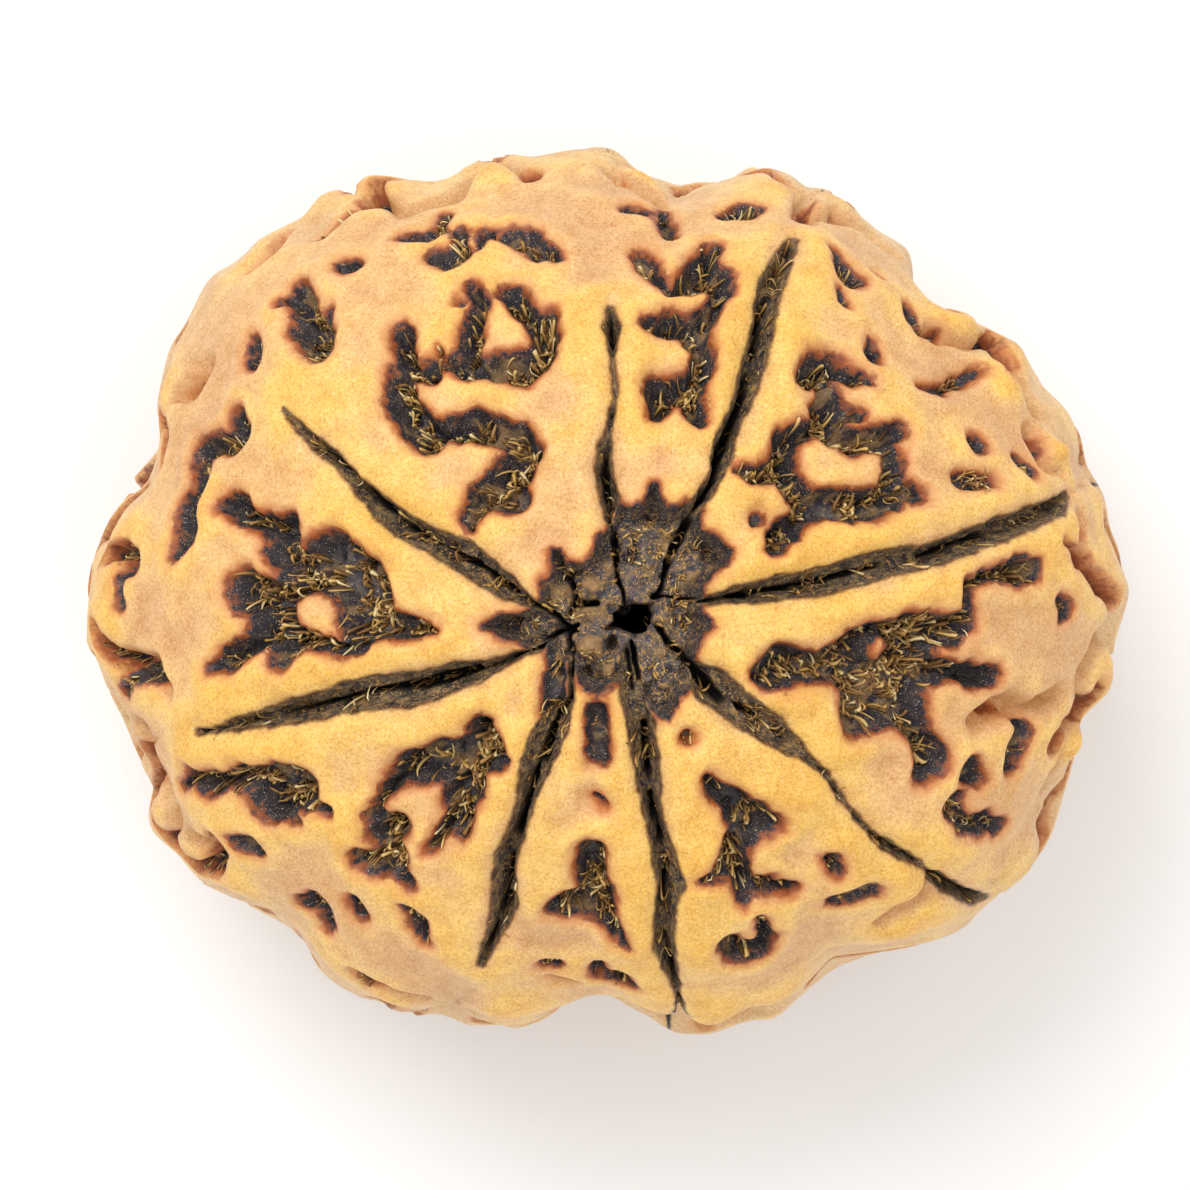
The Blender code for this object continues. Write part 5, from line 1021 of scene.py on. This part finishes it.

# Dark pores dot the tan, and pale specks on it are painted glints of light
pores = add_node(
    shell, "ShaderNodeTexNoise", "Fac", {"Vector": place, "Scale": 1 / (0.13 * MM), "Detail": 1},
)
pores = add_node(shell, "ShaderNodeMapRange", 0, {0: pores, 1: 0.78, 2: 0.84, 4: 0.5})
tan = add_node(shell, "ShaderNodeMix", 2, {0: pores, 6: tan, 7: "#A8703F"}, data_type="RGBA")
glint_specks = add_node(shell, "ShaderNodeMapRange", 0, {0: specks, 1: 0.62, 2: 0.72, 4: 0.5})
tan = add_node(shell, "ShaderNodeMix", 2, {0: glint_specks, 6: tan, 7: "#FBE6C2"}, data_type="RGBA")

# The shell is toasted round the pits and clefts: peach, then a patchy orange brown, then a scorched line
edge = add_node(shell, "ShaderNodeMath", 0, {0: dust, 1: 0.26, 2: pit_gap}, operation="MULTIPLY_ADD")
warm = add_node(
    shell, "ShaderNodeMapRange", 0, {0: edge, 1: 0.6, 2: 0.28, 4: 0.3}, interpolation_type="SMOOTHSTEP",
)
colour = add_node(shell, "ShaderNodeMix", 2, {0: warm, 6: tan, 7: "#E09C64"}, data_type="RGBA")
toast = add_node(
    shell, "ShaderNodeMapRange", 0, {0: edge, 1: 0.42, 2: 0.24}, interpolation_type="SMOOTHSTEP",
)
toast_patches = add_node(
    shell, "ShaderNodeMapRange", 0, {0: blotches, 1: 0.4, 2: 0.62, 3: 0.15, 4: 0.9},
    interpolation_type="SMOOTHSTEP",
)
toast = add_node(shell, "ShaderNodeMath", 0, {0: toast, 1: toast_patches}, operation="MULTIPLY")
colour = add_node(shell, "ShaderNodeMix", 2, {0: toast, 6: colour, 7: "#C4743D"}, data_type="RGBA")
cleft_edge = add_node(shell, "ShaderNodeMath", 0, {0: dust, 1: 0.14, 2: cleft_gap}, operation="MULTIPLY_ADD")
cleft_edge = add_node(
    shell, "ShaderNodeMapRange", 0, {0: cleft_edge, 1: 0.19, 2: 0.08}, interpolation_type="SMOOTHSTEP",
)
colour = add_node(shell, "ShaderNodeMix", 2, {0: cleft_edge, 6: colour, 7: "#6A4228"}, data_type="RGBA")
scorch = add_node(
    shell, "ShaderNodeMapRange", 0, {0: edge, 1: 0.29, 2: 0.19}, interpolation_type="SMOOTHSTEP",
)
scorched = add_node(shell, "ShaderNodeMix", 2, {0: blotches, 6: "#7E3F25", 7: "#B0602F"}, data_type="RGBA")
colour = add_node(shell, "ShaderNodeMix", 2, {0: scorch, 6: colour, 7: scorched}, data_type="RGBA")

# Charred pulp lies on the pits' floors: grey brown, with brown tissue and pale dust. Its black in the hollows
# of the floor and along the pits' walls is painted shade
char = add_node(
    shell, "ShaderNodeValToRGB", "Color", {"Fac": dust},
    stops=((0.3, "#2E2A2F"), (0.74, "#9A8468"), (0.43, "#4C464C"), (0.6, "#6C6058")),
)
pit_shade = add_node(
    shell, "ShaderNodeMapRange", 0, {0: pulp, 1: -0.04, 2: -0.16}, interpolation_type="SMOOTHSTEP",
)
wall_shade = add_node(
    shell, "ShaderNodeMapRange", 0, {0: edge, 1: -0.2, 2: 0.06, 4: 0.7}, interpolation_type="SMOOTHSTEP",
)
pit_shade = add_node(shell, "ShaderNodeMath", 0, {0: pit_shade, 1: wall_shade}, operation="MAXIMUM")
char = add_node(shell, "ShaderNodeMix", 2, {0: pit_shade, 6: char, 7: "#221C22"}, data_type="RGBA")
brown = add_node(shell, "ShaderNodeMath", 0, {0: dust, 1: 0.3, 2: pulp}, operation="MULTIPLY_ADD")
brown = add_node(
    shell, "ShaderNodeMapRange", 0, {0: brown, 1: 0.17, 2: 0.27, 4: 0.85}, interpolation_type="SMOOTHSTEP",
)
tissue = add_node(shell, "ShaderNodeMix", 2, {0: cells, 6: "#4E3826", 7: "#AE8A5C"}, data_type="RGBA")
char = add_node(shell, "ShaderNodeMix", 2, {0: brown, 6: char, 7: tissue}, data_type="RGBA")
pale = add_node(
    shell, "ShaderNodeMapRange", 0, {0: specks, 1: 0.64, 2: 0.72}, interpolation_type="SMOOTHSTEP",
)
char = add_node(shell, "ShaderNodeMix", 2, {0: pale, 6: char, 7: "#B7A48E"}, data_type="RGBA")
charred = add_node(
    shell, "ShaderNodeMapRange", 0, {0: edge, 1: 0.2, 2: 0.13}, interpolation_type="SMOOTHSTEP",
)
colour = add_node(shell, "ShaderNodeMix", 2, {0: charred, 6: colour, 7: char}, data_type="RGBA")

# The clefts hold dark pulp round a crack painted black as shade, and the plateau is charred. Both have golden
# flecks
in_cleft = add_node(
    shell, "ShaderNodeMapRange", 0, {0: cleft_gap, 1: 0.05, 2: -0.01}, interpolation_type="SMOOTHSTEP",
)
filling = add_node(
    shell, "ShaderNodeValToRGB", "Color", {"Fac": dust},
    stops=((0.33, "#262120"), (0.7, "#B28F5C"), (0.45, "#4E443F"), (0.58, "#7A6850")),
)
colour = add_node(shell, "ShaderNodeMix", 2, {0: in_cleft, 6: colour, 7: filling}, data_type="RGBA")
gold = add_node(
    shell, "ShaderNodeTexNoise", "Fac",
    {"Vector": place, "Scale": 1 / (0.12 * MM), "Detail": 2, "Distortion": 1.5},
)
gold = add_node(shell, "ShaderNodeMapRange", 0, {0: gold, 1: 0.56, 2: 0.62}, interpolation_type="SMOOTHSTEP")
golden = add_node(shell, "ShaderNodeMath", 0, {0: plateau, 1: charred}, operation="MULTIPLY")
golden = add_node(shell, "ShaderNodeMath", 0, {0: golden, 1: in_cleft}, operation="MAXIMUM")
gold = add_node(shell, "ShaderNodeMath", 0, {0: gold, 1: golden}, operation="MULTIPLY")
colour = add_node(shell, "ShaderNodeMix", 2, {0: gold, 6: colour, 7: "#B88E52"}, data_type="RGBA")

# Chunks of bare brown shell stand up from the plateau, and the cracks, the seams' grooves and the deep
# hollows are painted nearly black as shade
chunk = add_node(
    shell, "ShaderNodeMapRange", 0, {0: depth, 1: 0.5, 2: 0.36}, interpolation_type="SMOOTHSTEP",
)
inner_part = add_node(shell, "ShaderNodeMapRange", 0, {0: pit_gap, 1: -0.15, 2: -0.25})
chunk = add_node(shell, "ShaderNodeMath", 0, {0: chunk, 1: inner_part}, operation="MULTIPLY")
chunk = add_node(shell, "ShaderNodeMath", 0, {0: chunk, 1: plateau}, operation="MULTIPLY")
bark = add_node(shell, "ShaderNodeMix", 2, {0: dust, 6: "#3E2C22", 7: "#D0A26A"}, data_type="RGBA")
colour = add_node(shell, "ShaderNodeMix", 2, {0: chunk, 6: colour, 7: bark}, data_type="RGBA")
# Painted shade: the cracks and the seams' grooves are nearly black
crack_shade = add_node(
    shell, "ShaderNodeMapRange", 0, {0: slot_gap, 1: 0.05, 2: -0.01}, interpolation_type="SMOOTHSTEP",
)
colour = add_node(shell, "ShaderNodeMix", 2, {0: crack_shade, 6: colour, 7: "#1A1510"}, data_type="RGBA")
# Painted shade: the deepest hollows turn nearly black
deep_shade = add_node(
    shell, "ShaderNodeMapRange", 0, {0: depth, 1: 1.5, 2: 1.9}, interpolation_type="SMOOTHSTEP",
)
colour = add_node(shell, "ShaderNodeMix", 2, {0: deep_shade, 6: colour, 7: "#0B0908"}, data_type="RGBA")
shell.node_tree.links.new(colour, shader.inputs["Base Color"])

# The oiled ridges shine softly and the pits are dull. Fine grit stands out most on the floors
dull = add_node(shell, "ShaderNodeMapRange", 0, {0: depth, 1: 0.1, 2: 0.5, 3: 0.46, 4: 0.85})
shell.node_tree.links.new(dull, shader.inputs["Roughness"])
floor_grit = add_node(shell, "ShaderNodeMapRange", 0, {0: depth, 1: 0.2, 2: 0.6, 3: 0.0, 4: 3.0})
grit = add_node(shell, "ShaderNodeMath", 0, {0: floor_grit, 1: dust, 2: cells}, operation="MULTIPLY_ADD")
bump = add_node(shell, "ShaderNodeBump", "Normal", {"Height": grit, "Strength": 0.4, "Distance": 0.05 * MM})
shell.node_tree.links.new(bump, shader.inputs["Normal"])
stone.data.materials.clear()
stone.data.materials.append(shell)
stone.data.polygons.foreach_set("material_index", [0] * len(stone.data.polygons))
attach(stone, "root")
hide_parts("rudraksha_stone")


# The fibres are what is left of the fruit's pulp, torn and dried. They lie in tufts in the pits, in the
# clefts and on the plateau, straw coloured to brown, each rooted in the charred pulp under it.
# One slim three-sided tube is modelled and copied for each fibre, and bent to its own curve.

FIBRE_STEPS = 5
FIBRES_IN_TUFT = (3, 9)
TUFT_SPREAD = 0.2
FIBRE_ROOTING = 0.03
FIBRE_REACH = 0.5
FIBRE_FLATNESS = (1.6, 0.6)
FIBRE_BOW = (0.1, 1.1)
FULL_TURN = 6.3
HEADING_SPREAD = 0.85
ROOT_SHARE = 0.3
STROKE_MARGIN = (0.25, 0.35)
LEAST_HALF_WIDTH = 0.08
TUFT_SCATTER = 1.15
ABOVE_RIM = 0.05
LEAST_DEPTH, LEAST_SIDE_DEPTH = 0.1, 0.2

# Kinds of fibre: tufts for the area of a stroke, lengths, radii, and how far they arch up
FIBRE_KINDS = {
    "pit_fibres": (3.6, (0.1, 0.5), (0.012, 0.05), (0.02, 0.35)),
    "small_pit_fibres": (3.4, (0.1, 0.45), (0.01, 0.042), (0.02, 0.25)),
    "cleft_fibres": (2.3, (0.12, 0.5), (0.01, 0.032), (0.03, 0.22)),
    "plateau_fibres": (4.5, (0.1, 0.35), (0.012, 0.034), (0.02, 0.08)),
    "side_pit_fibres": (2.2, (0.15, 0.45), (0.012, 0.036), (0.02, 0.15)),
}
PLATEAU_STROKES = (
    ((0.5, 1.4, .5), (1.2, 1.2, .6), (1.9, 1.0, .4)), ((-1.0, 0.4, .3), (-0.8, -0.4, .4), (-2.2, -0.9, .3)),
    ((-0.3, -1.7, .35), (0.5, -1.9, .3), (1.5, -2.2, .4)), ((1.4, -1.0, .3), (1.8, -0.6, .4), (1.7, 0.2, .4)),
)

# The tube has a ring of points at each step along it
bpy.ops.mesh.primitive_cylinder_add(vertices=3, radius=1, depth=1)
strand = active("fibre")
bpy.ops.object.mode_set(mode="EDIT")
bpy.ops.mesh.select_mode(type="EDGE")
bpy.ops.mesh.select_all(action="DESELECT")
bpy.ops.object.mode_set(mode="OBJECT")
for edge in strand.data.edges:
    ends = [strand.data.vertices[number].co for number in edge.vertices]
    edge.select = abs(ends[0].z - ends[1].z) > 0.5
bpy.ops.object.mode_set(mode="EDIT")
bpy.ops.mesh.subdivide(number_cuts=FIBRE_STEPS - 1)
bpy.ops.object.mode_set(mode="OBJECT")
corners = np.array([corner.co for corner in strand.data.vertices])
corner_steps = np.round((corners[:, 2] + 0.5) * FIBRE_STEPS).astype(int)
strand_faces = [list(face.vertices) for face in strand.data.polygons]
bpy.data.objects.remove(strand)


def unit(vectors):
    return vectors / (np.linalg.norm(vectors, axis=-1)[..., None] + 1e-9)


def along_form(places, headings):
    """Unit vectors along the form at each place, turned from the east by the heading."""
    east = unit(np.cross((0.0, 0.0, 1.0), places))
    return east * np.cos(headings)[:, None] + unit(np.cross(places, east)) * np.sin(headings)[:, None]


def tufts(draw, strokes, density, lengths):
    """Starts and ends of the fibres of tufts that are thrown over the strokes."""
    starts, ends = [], []
    for stroke in strokes:
        for (start, wide), (end, wide_end) in zip(stroke, stroke[1:] or stroke):
            area = (np.linalg.norm(end - start) + STROKE_MARGIN[0]) * (STROKE_MARGIN[1] + wide + wide_end)
            for share in draw.uniform(0, 1, draw.poisson(density * area)):
                half = max(wide + share * (wide_end - wide), LEAST_HALF_WIDTH)
                count = draw.integers(*FIBRES_IN_TUFT)
                root = (start + share * (end - start))[None]
                aside = draw.uniform(-TUFT_SCATTER, TUFT_SCATTER) * half
                root = root + aside * along_form(root, draw.uniform(0, FULL_TURN, 1))
                roots = root + TUFT_SPREAD * draw.uniform(-1, 1, (count, 1)) * along_form(
                    np.repeat(root, count, axis=0), draw.uniform(0, FULL_TURN, count))
                heading = draw.uniform(0, FULL_TURN) + draw.normal(0, HEADING_SPREAD, count)
                reach = draw.uniform(*lengths, (count, 1)) * min(1.0, 0.5 + 1.2 * half)
                starts.append(roots - ROOT_SHARE * reach * along_form(roots, heading))
                ends.append(roots + (1 - ROOT_SHARE) * reach * along_form(roots, heading))
    return np.concatenate(starts), np.concatenate(ends)


FIBRE_SEED = 90
draw = np.random.default_rng(FIBRE_SEED)
seams, openings = seam_strokes(form)
clefts, small, deep, side_strokes, plateau_strokes = [
    [[(form.on_crown(x, y), wide) for x, y, wide in stroke] for stroke in strokes]
    for strokes in (
        CLEFTS.values(),
        [stroke for depth_of, strokes in PITS.values() if depth_of != DEEP for stroke in strokes],
        [stroke for depth_of, strokes in PITS.values() if depth_of == DEEP for stroke in strokes],
        (), PLATEAU_STROKES,
    )
]
_, side_strokes = side_features(form, seams + openings, clefts + small + deep)
places_of = (deep, small, clefts, plateau_strokes, side_strokes)
thrown = [
    tufts(draw, strokes, density, lengths)
    for strokes, (density, lengths, _, _) in zip(places_of, FIBRE_KINDS.values())
]
kind_of = np.repeat(np.arange(len(thrown)), [len(starts) for starts, _ in thrown])
starts, ends = (np.concatenate([pair[number] for pair in thrown]) for number in (0, 1))
radius_of, arch_of = (
    np.array([row[at] for row in FIBRE_KINDS.values()])[kind_of] for at in (2, 3)
)
radii, arches = (
    low + (high - low) * draw.uniform(0, 1, len(kind_of)) for low, high in (radius_of.T, arch_of.T)
)
long = np.linalg.norm(ends - starts, axis=1)
bow_ways = along_form((starts + ends) / 2, draw.uniform(0, FULL_TURN, len(long)))
bows = bow_ways * (draw.uniform(*FIBRE_BOW, len(long)) * long)[:, None]
middles = (starts + ends) / 2 + bows

# The stone under each fibre, at its start, middle and end: the floor, and the rim that it stays below
tried = unit(np.stack((starts, middles, ends)))
on_form = form.point(tried.reshape(-1, 3))
height, found = relief(form, on_form)
floors = (np.linalg.norm(on_form, axis=1) + height).reshape(3, -1)
sunken = found["depth"].reshape(3, -1)
low = floors.min(axis=0)
first = np.minimum(floors[0], low + FIBRE_REACH) - FIBRE_ROOTING
last = np.minimum(floors[2], low + FIBRE_REACH) + draw.uniform(0, 1, len(long)) * arches
last = np.minimum(last, floors[2] + sunken[2] + ABOVE_RIM)
top = np.minimum(np.minimum(floors[1], low + FIBRE_REACH) + arches, floors[1] + sunken[1] + ABOVE_RIM)
on_side = kind_of == len(FIBRE_KINDS) - 1
in_pit = (sunken[1] > LEAST_DEPTH) & (~on_side | (sunken.min(axis=0) > LEAST_SIDE_DEPTH))
kept = np.nonzero(in_pit)[0]

# Each fibre's line, and the tube bent along it: broad and flat, slimmer towards both ends
lines = []
for t in np.linspace(0, 1, FIBRE_STEPS + 1):
    way = unit((1 - t) ** 2 * tried[0] + 2 * t * (1 - t) * tried[1] + t**2 * tried[2])
    rise = (1 - t) * (1 - 2 * t) * first + 4 * t * (1 - t) * top + t * (2 * t - 1) * last
    lines.append((way * rise[:, None])[kept])
lines = np.array(lines)
along = unit(lines[-1] - lines[0])
across = unit(np.cross(along, lines[0]))
upward = np.cross(across, along)
slim = 1.0 - 0.6 * (2 * corner_steps / FIBRE_STEPS - 1) ** 2
thick = radii[kept][:, None] * slim
spots = lines[corner_steps].transpose(1, 0, 2)
for at, side in enumerate((across, upward)):
    spots = spots + (FIBRE_FLATNESS[at] * thick * corners[:, at])[:, :, None] * side[:, None]
spots = (spots + middle) * MM
tones = 0.85 * draw.uniform(0, 1, len(kept))[:, None] ** 1.25 + 0.25 * corner_steps / FIBRE_STEPS

# Dry pulp fibre, matt, from brown through straw to nearly white at the torn ends
straw = bpy.data.materials.new("dried_pulp_fibre")
straw.use_nodes = True
straw_shader = straw.node_tree.nodes["Principled BSDF"]
straw_shader.inputs["Roughness"].default_value = 0.6
tone = add_node(straw, "ShaderNodeAttribute", "Fac", attribute_name="tone")
straw_colour = add_node(
    straw, "ShaderNodeValToRGB", "Color", {"Fac": tone},
    stops=((0.0, "#5A3D22"), (1.0, "#F0D8A0"), (0.3, "#946A38"), (0.6, "#C2964F"), (0.8, "#DCB46C")),
)
straw.node_tree.links.new(straw_colour, straw_shader.inputs["Base Color"])
for number, name in enumerate(FIBRE_KINDS):
    chosen = np.nonzero(kind_of[kept] == number)[0]
    faces = [
        [corner + at * len(corners) for corner in face]
        for at in range(len(chosen)) for face in strand_faces
    ]
    mesh = bpy.data.meshes.new(name)
    mesh.from_pydata(spots[chosen].reshape(-1, 3).tolist(), [], faces)
    mark = mesh.attributes.new("tone", "FLOAT", "POINT")
    mark.data.foreach_set("value", tones[chosen].ravel().astype(np.float32))
    mesh.shade_smooth()
    mesh.materials.append(straw)
    fibres = bpy.data.objects.new(name, mesh)
    bpy.context.collection.objects.link(fibres)
    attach(fibres, "root")

# The table is one level sheet of matt white card under the stone, wide enough to fill the view. It is
# the stage and no part of the object.
TABLE_SIZE = 1.6
bpy.ops.mesh.primitive_plane_add(size=TABLE_SIZE)
table = active("table")
paper = bpy.data.materials.new("matt_white_card")
paper.use_nodes = True
paper.node_tree.nodes["Principled BSDF"].inputs["Base Color"].default_value = linear("#FAFAFA")
paper.node_tree.nodes["Principled BSDF"].inputs["Roughness"].default_value = 0.9
table.data.materials.append(paper)
table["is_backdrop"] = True

# Soft studio light comes from all round, with a broad lamp high on the left and a weaker one on the right
world = bpy.data.worlds.new("studio")
world.use_nodes = True
world.node_tree.nodes["Background"].inputs["Color"].default_value = linear("#FFFFFF")
world.node_tree.nodes["Background"].inputs["Strength"].default_value = 0.82
bpy.context.scene.world = world
LAMPS_AIM = Vector((0, 0, 0.009))
LAMPS = {
    "key_lamp": ((-0.12, 0.2, 0.4), 0.25, 1.05),
    "fill_lamp": ((0.16, -0.1, 0.45), 0.4, 0.35),
}
for name, (spot, size, power) in LAMPS.items():
    bpy.ops.object.light_add(type="AREA", location=spot)
    lamp = active(name)
    lamp.data.size = size
    lamp.data.energy = power
    lamp.rotation_euler = (LAMPS_AIM - Vector(spot)).to_track_quat("-Z", "Y").to_euler()
bpy.context.scene.view_settings.view_transform = "Standard"

# The camera looks straight down on the crown from 0.4 m, with north up
CAMERA_HEIGHT = 0.4
PHOTO_SIDE = 29.75 * MM
PHOTO_MIDDLE = (-0.3125 * MM, -0.1125 * MM)
SENSOR_WIDTH = 36
bpy.ops.object.camera_add(location=(*PHOTO_MIDDLE, EQUATOR_HEIGHT * MM + CAMERA_HEIGHT), rotation=(0, 0, 0))
camera = active("camera")
camera.data.sensor_width = SENSOR_WIDTH
camera.data.lens = SENSOR_WIDTH * CAMERA_HEIGHT / PHOTO_SIDE
camera.data.clip_end = 5
bpy.context.scene.camera = camera

size = {"cad": [list(corner) for corner in cad_box], "visual": [list(corner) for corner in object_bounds()]}
